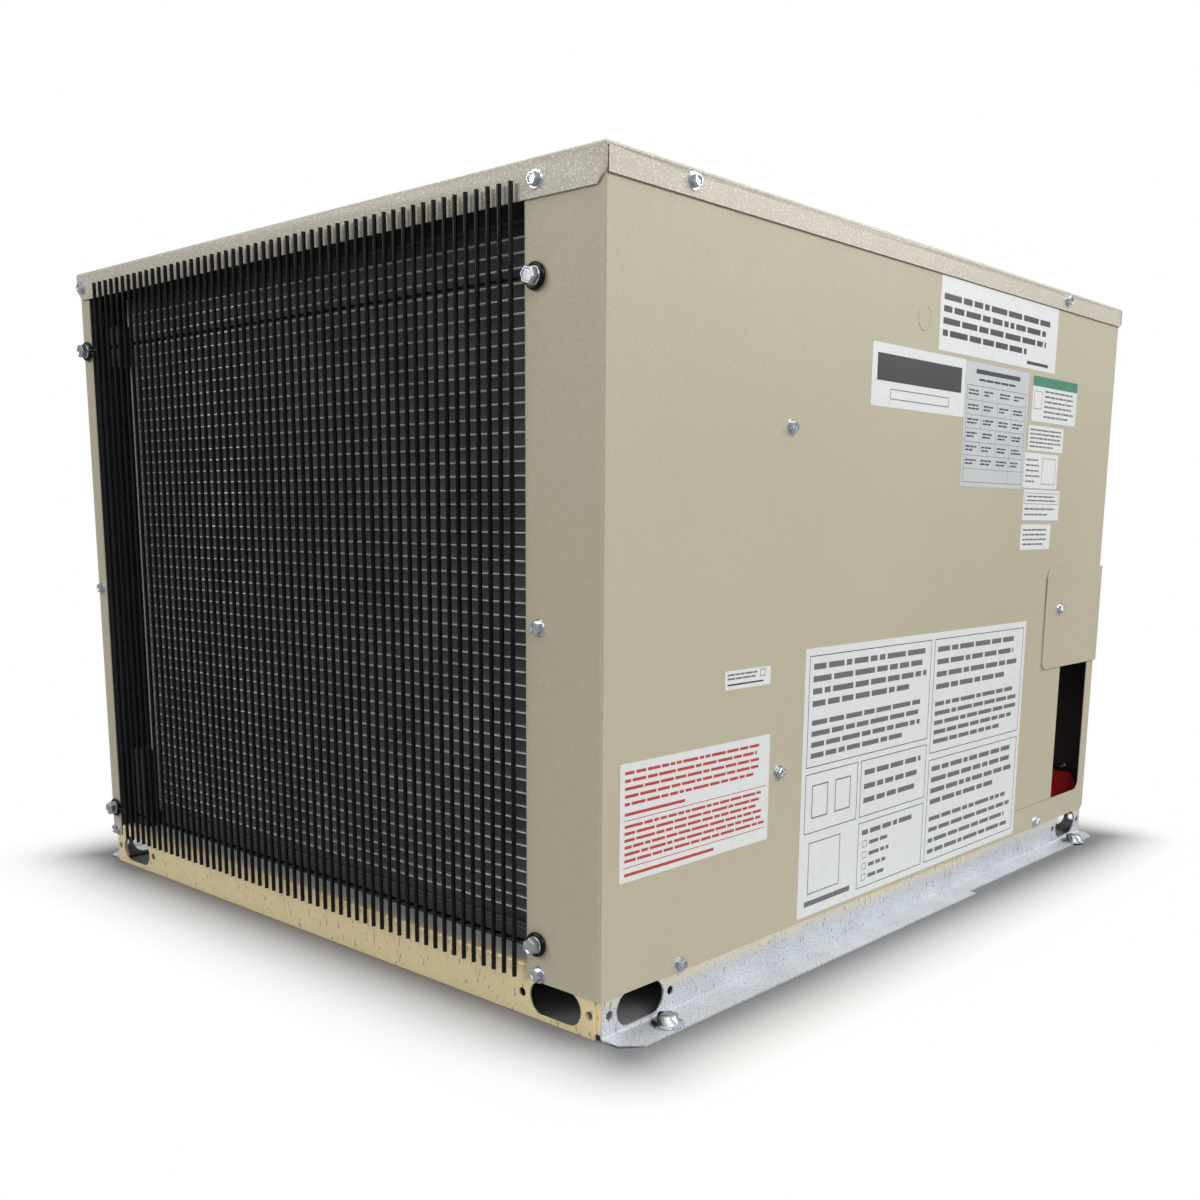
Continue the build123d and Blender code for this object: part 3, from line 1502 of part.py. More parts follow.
nodes = {
    "base_pan": make_base,
    "hold_down_bolts": make_hold_down_bolts,
    "left_panel": make_left_panel,
    "right_panel": make_right_panel,
    "rear_corner_panel": make_corner_panel,
    "rear_panel": make_rear_panel,
    "panel_screws": make_panel_screws,
    "top_panel": make_lid,
    "lid_screws": make_lid_screws,
    "line_slot_cover": make_slot_cover,
    "coil_guard": make_coil_guard,
    "rear_guard": make_rear_guard,
    "guard_bolts": make_guard_bolts,
    "coil_tubes": make_coil_tubes,
    "coil_fins": make_coil_fins,
    "coil_side_plates": make_side_plates,
    "header_left": lambda: make_header(-1),
    "header_right": lambda: make_header(1),
    "coil_isolators": make_isolators,
    "coil_channel": make_coil_channel,
    "coil_top_baffle": make_top_baffle,
    "fan_venturi": make_venturi,
    "fan_propeller": make_propeller,
    "motor_shaft": make_shaft,
    "fan_motor": make_motor,
    "motor_bracket": make_motor_bracket,
    "compressor": make_compressor,
    "compressor_grommets": make_feet_grommets,
    "compressor_bolts": make_feet_bolts,
    "crankcase_heater": make_heater,
    "terminal_cover": make_terminal_cover,
    "receiver": make_receiver,
    "receiver_stand": make_receiver_stand,
    "discharge_line": make_discharge_line,
    "condenser_line": make_condenser_line,
    "liquid_line": make_liquid_line,
    "suction_line": make_suction_line,
    "filter_drier": make_drier,
    "sight_glass": make_sight_glass,
    "suction_valve": lambda: make_valve(suction_z, suction_stub_r, suction_bore_r),
    "liquid_valve": lambda: make_valve(liquid_z, liquid_stub_r, liquid_bore_r),
    "suction_valve_stem": lambda: make_stem(suction_z),
    "liquid_valve_stem": lambda: make_stem(liquid_z),
    "suction_valve_cap": lambda: make_cap(suction_z),
    "liquid_valve_cap": lambda: make_cap(liquid_z),
    "valve_bracket": make_valve_bracket,
    "valve_partition": make_partition,
    "pipe_grommets": make_pipe_grommets,
    "control_box": make_control_box,
    "control_box_cover": make_control_cover,
    "control_box_stand": make_control_stand,
    "contactor": make_contactor,
    "contactor_plunger": make_plunger,
    "run_capacitor": make_capacitor,
    "terminal_strip": make_terminal_strip,
}

os.makedirs("parts", exist_ok=True)
for name, make in nodes.items():
    export_step(make(), f"parts/{name}.step")
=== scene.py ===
import json
import math
import random

import bmesh
import bpy
from mathutils import Matrix, Vector


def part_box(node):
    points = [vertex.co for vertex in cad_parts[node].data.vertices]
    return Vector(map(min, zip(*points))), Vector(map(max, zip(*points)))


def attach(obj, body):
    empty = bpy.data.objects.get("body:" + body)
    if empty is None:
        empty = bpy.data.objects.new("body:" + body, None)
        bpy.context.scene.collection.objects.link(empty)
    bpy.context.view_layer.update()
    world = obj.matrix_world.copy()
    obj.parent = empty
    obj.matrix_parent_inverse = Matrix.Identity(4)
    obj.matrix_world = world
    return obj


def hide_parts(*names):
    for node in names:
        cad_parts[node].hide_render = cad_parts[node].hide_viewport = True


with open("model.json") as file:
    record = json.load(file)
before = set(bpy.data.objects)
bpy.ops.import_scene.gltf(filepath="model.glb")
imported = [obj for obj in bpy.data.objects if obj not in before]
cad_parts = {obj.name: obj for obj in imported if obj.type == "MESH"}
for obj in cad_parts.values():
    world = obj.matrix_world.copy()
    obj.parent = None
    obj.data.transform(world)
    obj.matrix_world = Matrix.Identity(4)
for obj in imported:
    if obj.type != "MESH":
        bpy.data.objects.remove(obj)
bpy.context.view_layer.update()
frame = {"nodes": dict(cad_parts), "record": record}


# ---- camera, floor and light ----

camera = {
    "place": (0.89221, -1.01449, 0.35573),
    "yaw": 42.102,         # degrees from +Y towards -X
    "pitch": -10.25,
    "roll": 0.488,
    "focal": 37.934,       # millimetres on a 36 mm sensor
    "shift": (-0.00692, 0.12058),
}


def makeCamera(c):
    yaw, pitch, roll = (math.radians(c[k]) for k in ("yaw", "pitch", "roll"))
    ahead = Vector((-math.sin(yaw) * math.cos(pitch), math.cos(yaw) * math.cos(pitch), math.sin(pitch)))
    level = ahead.cross(Vector((0, 0, 1))).normalized()
    upright = level.cross(ahead)
    right = level * math.cos(roll) + upright * math.sin(roll)
    up = upright * math.cos(roll) - level * math.sin(roll)
    data = bpy.data.cameras.new("camera")
    data.sensor_width = 36.0
    data.lens = c["focal"]
    data.shift_x, data.shift_y = c["shift"]
    data.clip_start, data.clip_end = 0.05, 60.0
    eye = bpy.data.objects.new("camera", data)
    eye.matrix_world = Matrix.Translation(c["place"]) @ Matrix((right, up, -ahead)).transposed().to_4x4()
    bpy.context.scene.collection.objects.link(eye)
    bpy.context.scene.camera = eye


lamps = {
    # name: (place, aims at, width, height, watts, colour)
    "rightBox": ((3.4, -0.6, 2.3), (0.2, 0.0, 0.3), 2.2, 1.6, 75.0, (1.0, 0.985, 0.96)),
    "glanceBox": ((2.2, 3.0, 1.9), (0.34, 0.0, 0.5), 1.6, 1.2, 34.0, (1.0, 0.99, 0.98)),
    "frontBox": ((-1.6, -3.4, 1.9), (0.0, -0.3, 0.3), 1.8, 1.2, 44.0, (1.0, 0.99, 0.97)),
    "topBox": ((0.2, 0.2, 3.4), (0.0, 0.0, 0.5), 2.4, 2.4, 32.0, (1.0, 0.99, 0.97)),
    "rearBox": ((-2.2, 2.6, 2.2), (0.0, 0.3, 0.3), 1.8, 1.4, 22.0, (0.98, 0.99, 1.0)),
}
surroundings = {"glow": 0.40, "low": (0.62, 0.60, 0.57), "middle": (0.42, 0.43, 0.45), "high": (1.0, 1.0, 1.0)}


def makeLamps(rows):
    for name, (place, aim, wide, high, watts, colour) in rows.items():
        data = bpy.data.lights.new(name, "AREA")
        data.shape = "RECTANGLE"
        data.size, data.size_y = wide, high
        data.energy = watts
        data.color = colour
        lamp = bpy.data.objects.new(name, data)
        lamp.location = place
        lamp.rotation_euler = (Vector(aim) - Vector(place)).to_track_quat("-Z", "Y").to_euler()
        bpy.context.scene.collection.objects.link(lamp)


def makeSurroundings(s):
    # plain white where the camera sees it; dimmer, and darkest level with the eye, as a light
    world = bpy.data.worlds.new("studio")
    bpy.context.scene.world = world
    world.use_nodes = True
    tree = world.node_tree
    tree.nodes.clear()
    way = put(tree, "ShaderNodeSeparateXYZ", {0: put(tree, "ShaderNodeTexCoord").outputs["Generated"]}).outputs[2]
    upper = mixColour(tree, remap(tree, way, 0.05, 0.75, 0.0, 1.0), s["middle"], s["high"])
    shade = mixColour(tree, remap(tree, way, -0.55, -0.05, 1.0, 0.0), upper, s["low"])
    glow = put(tree, "ShaderNodeBackground", {"Color": shade, "Strength": s["glow"] * 1.6})
    white = put(tree, "ShaderNodeBackground", {"Color": (1.0, 1.0, 1.0, 1.0), "Strength": 1.0})
    seen = put(tree, "ShaderNodeLightPath").outputs["Is Camera Ray"]
    both = put(tree, "ShaderNodeMixShader", {0: seen, 1: glow.outputs[0], 2: white.outputs[0]})
    put(tree, "ShaderNodeOutputWorld", {"Surface": both.outputs[0]})


# ---- shader helpers ----

def put(tree, kind, links=None, **settings):
    # adds a node; links maps an input to a socket or to a plain value
    node = tree.nodes.new(kind)
    for key, value in settings.items():
        setattr(node, key, value)
    for key, value in (links or {}).items():
        if isinstance(value, bpy.types.NodeSocket):
            tree.links.new(value, node.inputs[key])
        else:
            node.inputs[key].default_value = value
    return node


def newMaterial(name, colour, roughness, metallic=0.0, **sockets):
    material = bpy.data.materials.new(name)
    material.use_nodes = True
    material.diffuse_color = (*colour, 1.0)
    surface = material.node_tree.nodes["Principled BSDF"]
    surface.inputs["Base Color"].default_value = (*colour, 1.0)
    surface.inputs["Roughness"].default_value = roughness
    surface.inputs["Metallic"].default_value = metallic
    for key, value in sockets.items():
        surface.inputs[key.replace("_", " ")].default_value = value
    return material, material.node_tree, surface


def objectPlace(tree, scale=(1.0, 1.0, 1.0)):
    coords = put(tree, "ShaderNodeTexCoord")
    mapping = put(tree, "ShaderNodeMapping", {"Vector": coords.outputs["Object"], "Scale": scale})
    return mapping.outputs["Vector"]


def noiseAt(tree, place, scale, detail=2.0, roughness=0.5):
    node = put(tree, "ShaderNodeTexNoise", {"Vector": place, "Scale": scale, "Detail": detail, "Roughness": roughness})
    return node.outputs["Fac"]


def remap(tree, value, low, high, toLow, toHigh):
    node = put(tree, "ShaderNodeMapRange", {0: value, 1: low, 2: high, 3: toLow, 4: toHigh})
    return node.outputs[0]


def mixColour(tree, factor, first, second, blend="MIX"):
    node = put(tree, "ShaderNodeMix", {0: factor}, data_type="RGBA", blend_type=blend)
    for index, colour in ((6, first), (7, second)):
        if isinstance(colour, bpy.types.NodeSocket):
            tree.links.new(colour, node.inputs[index])
        else:
            node.inputs[index].default_value = (*colour, 1.0)
    return node.outputs[2]


def bumped(tree, surface, height, strength, distance):
    node = put(tree, "ShaderNodeBump", {"Height": height, "Strength": strength, "Distance": distance})
    tree.links.new(node.outputs["Normal"], surface.inputs["Normal"])


# ---- finishes ----

def powderCoat(name, colour, roughness=0.46, paintedSheen=0.0, relief=0.34, lined=False):
    # fine textured powder paint: a soft drift in tone, a grain of small lumps and, on the lid, bright specks, which are
    # a painted highlight standing in for its sheen;
    # the inside option paints shade on the panels' inner faces, which lie within the cabinet's walls, as a near-black
    # colour
    material, tree, surface = newMaterial(name, colour, roughness)
    place = objectPlace(tree)
    pale = tuple(min(1.0, c * 1.05) for c in colour)
    dark = tuple(c * 0.94 for c in colour)
    drift = remap(tree, noiseAt(tree, place, 3.0, 3.0), 0.35, 0.65, 0.0, 1.0)
    speck = remap(tree, noiseAt(tree, place, 620.0, 1.0), 0.3, 0.7, 0.0, 1.0)
    toned = mixColour(tree, drift, dark, pale)
    fleck = mixColour(tree, speck, tuple(c * 0.90 for c in colour), tuple(min(1.0, c * 1.10) for c in colour))
    tone = mixColour(tree, 0.5, toned, fleck)
    # painted highlight: white specks standing in for the lid's sheen
    if paintedSheen:
        sheenSpeckShare = remap(tree, noiseAt(tree, place, 900.0, 0.0), 0.64, 0.72, 0.0, paintedSheen)
        tone = mixColour(tree, sheenSpeckShare, tone, (0.97, 0.97, 0.95))
    # painted shade: faces inside the cabinet's walls are coloured near black for the shade within the cabinet
    if lined:
        reach = put(tree, "ShaderNodeVectorMath", {0: place}, operation="ABSOLUTE").outputs[0]
        split = put(tree, "ShaderNodeSeparateXYZ", {0: reach}).outputs
        outer = [put(tree, "ShaderNodeMath", {0: split[k], 1: wallMiddle[k]}, operation="GREATER_THAN").outputs[0] for k in (0, 1)]
        shown = put(tree, "ShaderNodeMath", {0: outer[0], 1: outer[1]}, operation="MAXIMUM").outputs[0]
        tone = mixColour(tree, shown, (0.035, 0.031, 0.034), tone)
    tree.links.new(tone, surface.inputs["Base Color"])
    gloss = remap(tree, noiseAt(tree, place, 40.0, 3.0), 0.3, 0.7, roughness - 0.03, roughness + 0.04)
    tree.links.new(gloss, surface.inputs["Roughness"])
    bumped(tree, surface, noiseAt(tree, place, 520.0, 2.0), relief, 0.00035)
    return material


def galvanisedSheet(name, silver, reflectedTan, roughness, metal):
    # coated steel: tan along the front and high on the sides, a painted reflection of warm surroundings; silver with a
    # dark grain below, sparse short upright dashes
    material, tree, surface = newMaterial(name, silver, roughness, metal)
    place = objectPlace(tree)
    split = put(tree, "ShaderNodeSeparateXYZ", {0: place}).outputs
    wander = remap(tree, noiseAt(tree, place, 9.0, 3.0), 0.3, 0.7, -0.003, 0.003)
    level = put(tree, "ShaderNodeMath", {0: split[2], 1: wander}, operation="ADD").outputs[0]
    upper = remap(tree, level, 0.018, 0.030, 0.0, 0.72)
    side = put(tree, "ShaderNodeMath", {0: split[0]}, operation="ABSOLUTE").outputs[0]
    front = remap(tree, split[1], -0.4000, -0.4070, 0.0, 1.0)
    front = put(tree, "ShaderNodeMath", {0: front, 1: remap(tree, side, 0.3395, 0.3405, 1.0, 0.0)}, operation="MULTIPLY").outputs[0]
    upper = put(tree, "ShaderNodeMath", {0: upper, 1: remap(tree, side, 0.325, 0.333, 0.0, 1.0)}, operation="MULTIPLY").outputs[0]
    # painted reflection: the share of tan along the front and high on the sides
    reflectionShare = put(tree, "ShaderNodeMath", {0: front, 1: upper}, operation="MAXIMUM").outputs[0]
    clouds = remap(tree, noiseAt(tree, place, 26.0, 4.0), 0.3, 0.7, 0.0, 1.0)
    cool = mixColour(tree, clouds, tuple(c * 0.88 for c in silver), silver)
    body = mixColour(tree, reflectionShare, cool, mixColour(tree, clouds, tuple(c * 0.93 for c in reflectedTan), reflectedTan))
    grain = remap(tree, noiseAt(tree, place, 760.0, 2.0, 0.6), 0.50, 0.68, 0.0, 1.0)
    grainShare = put(tree, "ShaderNodeMath", {0: grain, 1: remap(tree, reflectionShare, 0.0, 1.0, 0.62, 0.10)}, operation="MULTIPLY").outputs[0]
    grained = mixColour(tree, grainShare, body, tuple(c * 0.24 for c in silver))
    dashes = noiseAt(tree, objectPlace(tree, (1.0, 1.0, 0.35)), 430.0, 1.0)
    dashShare = remap(tree, dashes, 0.655, 0.70, 0.0, 0.55)
    tree.links.new(mixColour(tree, dashShare, grained, (0.16, 0.13, 0.10)), surface.inputs["Base Color"])
    tree.links.new(remap(tree, clouds, 0.0, 1.0, roughness + 0.12, roughness - 0.06), surface.inputs["Roughness"])
    bumped(tree, surface, noiseAt(tree, place, 640.0, 2.0), 0.16, 0.0002)
    return material


def platedSteel(name, colour, roughness, scratch=260.0):
    material, tree, surface = newMaterial(name, colour, roughness, 1.0)
    place = objectPlace(tree)
    cloud = noiseAt(tree, place, scratch, 4.0, 0.65)
    tree.links.new(remap(tree, cloud, 0.3, 0.7, roughness - 0.07, roughness + 0.12), surface.inputs["Roughness"])
    tint = mixColour(tree, remap(tree, noiseAt(tree, place, 90.0), 0.35, 0.65, 0.0, 1.0), tuple(c * 0.82 for c in colour), colour)
    tree.links.new(tint, surface.inputs["Base Color"])
    bumped(tree, surface, cloud, 0.12, 0.0001)
    return material


def enamel(name, colour, roughness, grain=240.0, relief=0.15, shine=0.5):
    material, tree, surface = newMaterial(name, colour, roughness, Specular_IOR_Level=shine)
    place = objectPlace(tree)
    drift = remap(tree, noiseAt(tree, place, 14.0, 4.0), 0.3, 0.7, 0.0, 1.0)
    tone = mixColour(tree, drift, tuple(c * 0.72 for c in colour), tuple(min(1.0, c * 1.25) for c in colour))
    tree.links.new(tone, surface.inputs["Base Color"])
    gloss = remap(tree, noiseAt(tree, place, 55.0, 3.0), 0.3, 0.7, max(0.05, roughness - 0.07), roughness + 0.10)
    tree.links.new(gloss, surface.inputs["Roughness"])
    bumped(tree, surface, noiseAt(tree, place, grain, 2.0), relief, 0.0004)
    return material


def drawnTube(name, colour, tarnish, roughness):
    # copper or brass, bright where handled and browner in patches
    material, tree, surface = newMaterial(name, colour, roughness, 1.0)
    place = objectPlace(tree)
    patches = remap(tree, noiseAt(tree, place, 22.0, 5.0, 0.62), 0.42, 0.68, 0.0, 0.85)
    tree.links.new(mixColour(tree, patches, colour, tarnish), surface.inputs["Base Color"])
    tree.links.new(remap(tree, noiseAt(tree, place, 60.0, 4.0), 0.3, 0.7, roughness - 0.06, roughness + 0.16), surface.inputs["Roughness"])
    bumped(tree, surface, noiseAt(tree, place, 420.0, 3.0), 0.08, 0.0002)
    return material


def foamOrRubber(name, colour, pores, strength):
    material, tree, surface = newMaterial(name, colour, 0.82)
    place = objectPlace(tree)
    cell = put(tree, "ShaderNodeTexVoronoi", {"Vector": place, "Scale": pores}, feature="F1")
    tone = mixColour(tree, remap(tree, cell.outputs["Distance"], 0.0, 0.7, 0.0, 1.0), tuple(c * 0.55 for c in colour), tuple(c * 1.5 for c in colour))
    tree.links.new(tone, surface.inputs["Base Color"])
    tree.links.new(remap(tree, noiseAt(tree, place, 45.0), 0.3, 0.7, 0.74, 0.92), surface.inputs["Roughness"])
    bumped(tree, surface, cell.outputs["Distance"], strength, 0.0006)
    return material


def rolledAluminium(name, colour, roughness, stretch, streak=0.10, metallic=1.0):
    # fine lines left along the length by rolling or drawing
    material, tree, surface = newMaterial(name, colour, roughness, metallic)
    place = objectPlace(tree, stretch)
    lines = noiseAt(tree, place, 420.0, 3.0, 0.6)
    blotch = remap(tree, noiseAt(tree, objectPlace(tree), 18.0, 4.0), 0.35, 0.7, 0.0, 1.0)
    tone = mixColour(tree, blotch, tuple(c * 0.80 for c in colour), colour)
    tree.links.new(tone, surface.inputs["Base Color"])
    tree.links.new(remap(tree, lines, 0.3, 0.7, roughness - 0.08, roughness + 0.10), surface.inputs["Roughness"])
    bumped(tree, surface, lines, streak, 0.0001)
    return material


def printedSheet(name, colour, roughness, metallic=0.0):
    # laminated label stock: nearly smooth, with a faint mottle
    material, tree, surface = newMaterial(name, colour, roughness, metallic, Coat_Weight=0.25, Coat_Roughness=0.28)
    place = objectPlace(tree)
    mottle = remap(tree, noiseAt(tree, place, 150.0, 3.0), 0.3, 0.7, 0.0, 1.0)
    tree.links.new(mixColour(tree, mottle, tuple(c * 0.95 for c in colour), colour), surface.inputs["Base Color"])
    tree.links.new(remap(tree, noiseAt(tree, place, 30.0), 0.3, 0.7, roughness - 0.05, roughness + 0.07), surface.inputs["Roughness"])
    bumped(tree, surface, noiseAt(tree, place, 70.0, 1.0), 0.04, 0.0004)
    return material


wallMiddle = (0.3417, 0.4117)     # half way through the side and rear sheets

finish = {
    "cabinet_paint": powderCoat("cabinetPaint", (0.51, 0.466, 0.345)),
    "galvanised": galvanisedSheet("galvanisedSheet", (0.60, 0.62, 0.65), (0.60, 0.62, 0.64), 0.40, 0.55),
    "zinc_hardware": platedSteel("zincHardware", (0.66, 0.70, 0.76), 0.25),
    "black_wire": enamel("blackWire", (0.003, 0.003, 0.0035), 0.16, 160.0, 0.10, 0.28),
    "coil_aluminium": rolledAluminium("coilAluminium", (0.93, 0.93, 0.92), 0.30, (0.06, 1.0, 1.0), 0.10, 0.6),
    "fin_aluminium": rolledAluminium("finAluminium", (0.66, 0.66, 0.68), 0.42, (1.0, 0.2, 1.0), 0.10, 0.7),
    "black_rubber": foamOrRubber("blackRubber", (0.018, 0.018, 0.018), 700.0, 0.15),
    "black_foam": foamOrRubber("blackFoam", (0.022, 0.022, 0.023), 420.0, 0.55),
    "fan_aluminium": rolledAluminium("fanAluminium", (0.78, 0.79, 0.80), 0.38, (1.0, 1.0, 0.1)),
    "steel_shaft": rolledAluminium("steelShaft", (0.62, 0.62, 0.63), 0.22, (1.0, 0.05, 1.0), 0.05),
    "black_paint": enamel("blackEnamel", (0.016, 0.016, 0.017), 0.34, 190.0, 0.22),
    "heater_silicone": foamOrRubber("heaterSilicone", (0.36, 0.07, 0.03), 520.0, 0.10),
    "black_plastic": enamel("blackPlastic", (0.022, 0.022, 0.024), 0.48, 900.0, 0.20),
    "cream_plastic": enamel("creamPlastic", (0.66, 0.60, 0.46), 0.42, 800.0, 0.10),
    "copper": drawnTube("copperTube", (0.80, 0.40, 0.26), (0.34, 0.15, 0.09), 0.26),
    "drier_paint": enamel("drierPaint", (0.06, 0.13, 0.20), 0.34, 200.0, 0.16),
    "brass": drawnTube("machinedBrass", (0.78, 0.57, 0.26), (0.42, 0.27, 0.10), 0.24),
    "red_paint": enamel("redPaint", (0.36, 0.012, 0.010), 0.36, 220.0, 0.18),
    "can_aluminium": rolledAluminium("canAluminium", (0.82, 0.82, 0.83), 0.26, (1.0, 1.0, 0.05)),
}

ink = {
    "paper": printedSheet("labelPaper", (0.79, 0.82, 0.82), 0.42),
    "silver": printedSheet("labelSilver", (0.66, 0.69, 0.71), 0.36, 0.15),
    "black": printedSheet("inkBlack", (0.030, 0.030, 0.036), 0.45),
    "grey": printedSheet("inkGrey", (0.15, 0.15, 0.16), 0.5),
    "red": printedSheet("inkRed", (0.52, 0.055, 0.045), 0.5),
    "green": printedSheet("inkGreen", (0.03, 0.24, 0.13), 0.5),
}
# panel paint with painted shade, near black, on the faces inside the cabinet's walls
linedPaint = powderCoat("linedPaint", (0.51, 0.466, 0.345), lined=True)
special = {
    "left_panel": linedPaint,
    "right_panel": linedPaint,
    "rear_panel": linedPaint,
    "rear_corner_panel": linedPaint,
    # painted shade: the coil's channel and side plates are coloured dark for the shade they stand in
    "coil_channel": powderCoat("shadedChannel", (0.045, 0.045, 0.047), 0.6),
    "coil_side_plates": rolledAluminium("shadedPlates", (0.16, 0.16, 0.165), 0.5, (0.06, 1.0, 1.0), 0.10, 0.6),
    # the base's tan is a painted reflection of warm surroundings, along its front and high on its sides
    "base_pan": galvanisedSheet("baseSheet", (0.68, 0.72, 0.77), (0.98, 0.82, 0.49), 0.36, 0.22),
    # the lid's paint is paler than the panels' and flecked with white, as painted sheen
    "top_panel": powderCoat("lidPaint", (0.54, 0.50, 0.41), 0.36, 0.55, 0.45),
    # painted shade: the valve partition behind the slot is coloured dark for the shade it stands in
    "valve_partition": powderCoat("shadedSheet", (0.075, 0.062, 0.068), 0.7),
}
slotOf = {row["node"]: row["material_slot"] for row in frame["record"]["subparts"]}
print("finishes made:", len(finish) + len(ink))


# ---- pieces: common steps ----

def smoothSides(mesh, degrees):
    mesh.shade_smooth()
    mesh.set_sharp_from_angle(angle=math.radians(degrees))


def settle(piece, body, slot, *nodes):
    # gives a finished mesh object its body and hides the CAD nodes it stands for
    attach(piece, body)
    if nodes:
        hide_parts(*nodes)
    return piece


def meshPiece(name, mesh):
    piece = bpy.data.objects.new(name, mesh)
    bpy.context.scene.collection.objects.link(piece)
    return piece


def looseParts(node):
    # the box of each separate solid in a CAD node, read from a merged copy of its mesh
    work = bmesh.new()
    work.from_mesh(frame["nodes"][node].data)
    bmesh.ops.remove_doubles(work, verts=work.verts, dist=2e-5)
    work.verts.index_update()
    seen, boxes = set(), []
    for first in work.verts:
        if first.index in seen:
            continue
        seen.add(first.index)
        waiting, corners = [first], []
        while waiting:
            vertex = waiting.pop()
            corners.append(vertex.co.copy())
            for edge in vertex.link_edges:
                other = edge.other_vert(vertex)
                if other.index not in seen:
                    seen.add(other.index)
                    waiting.append(other)
        low = Vector([min(c[i] for c in corners) for i in range(3)])
        high = Vector([max(c[i] for c in corners) for i in range(3)])
        boxes.append((low, high))
    work.free()
    return boxes


def headSeats(node, walls, proud):
    # where each fastener's head sits and the way it faces; walls is the box of the sheet that it holds
    seats = []
    for low, high in looseParts(node):
        middle = (low + high) / 2
        reach = [(high[i] - walls[1][i], i, 1) for i in range(3)] + [(walls[0][i] - low[i], i, -1) for i in range(3)]
        _, axis, sign = max(reach)
        seat = middle.copy()
        seat[axis] = (high[axis] if sign > 0 else low[axis]) - sign * proud
        facing = Vector((0, 0, 0))
        facing[axis] = sign
        seats.append((seat, facing))
    return seats


def seatMesh(name, seats):
    mesh = bpy.data.meshes.new(name)
    mesh.from_pydata([seat for seat, _ in seats], [], [])
    facing = mesh.attributes.new("facing", "FLOAT_VECTOR", "POINT")
    for item, (_, way) in zip(facing.data, seats):
        item.vector = way
    return mesh


def newTree(name, sizes):
    tree = bpy.data.node_groups.new(name, "GeometryNodeTree")
    tree.interface.new_socket("Seats", in_out="INPUT", socket_type="NodeSocketGeometry")
    for label, kind in sizes:
        tree.interface.new_socket(label, in_out="INPUT", socket_type="NodeSocket" + kind)
    tree.interface.new_socket("Result", in_out="OUTPUT", socket_type="NodeSocketGeometry")
    return tree, put(tree, "NodeGroupInput").outputs


def endTree(tree, shape, material):
    real = put(tree, "GeometryNodeRealizeInstances", {0: shape})
    coloured = put(tree, "GeometryNodeSetMaterial", {"Geometry": real.outputs[0], "Material": material})
    put(tree, "NodeGroupOutput", {0: coloured.outputs[0]})


def growFrom(tree, name, mesh, values):
    # runs a tree on a mesh of seats and keeps the result as a plain mesh
    holder = meshPiece(name + "Seats", mesh)
    modifier = holder.modifiers.new("grow", "NODES")
    modifier.node_group = tree
    for item in tree.interface.items_tree:
        if item.in_out == "INPUT" and item.name in values:
            modifier[item.identifier] = values[item.name]
    bpy.context.view_layer.update()
    shape = holder.evaluated_get(bpy.context.evaluated_depsgraph_get())
    grown = bpy.data.meshes.new_from_object(shape)
    bpy.data.objects.remove(holder)
    return meshPiece(name, grown)


# ---- screws and bolts ----

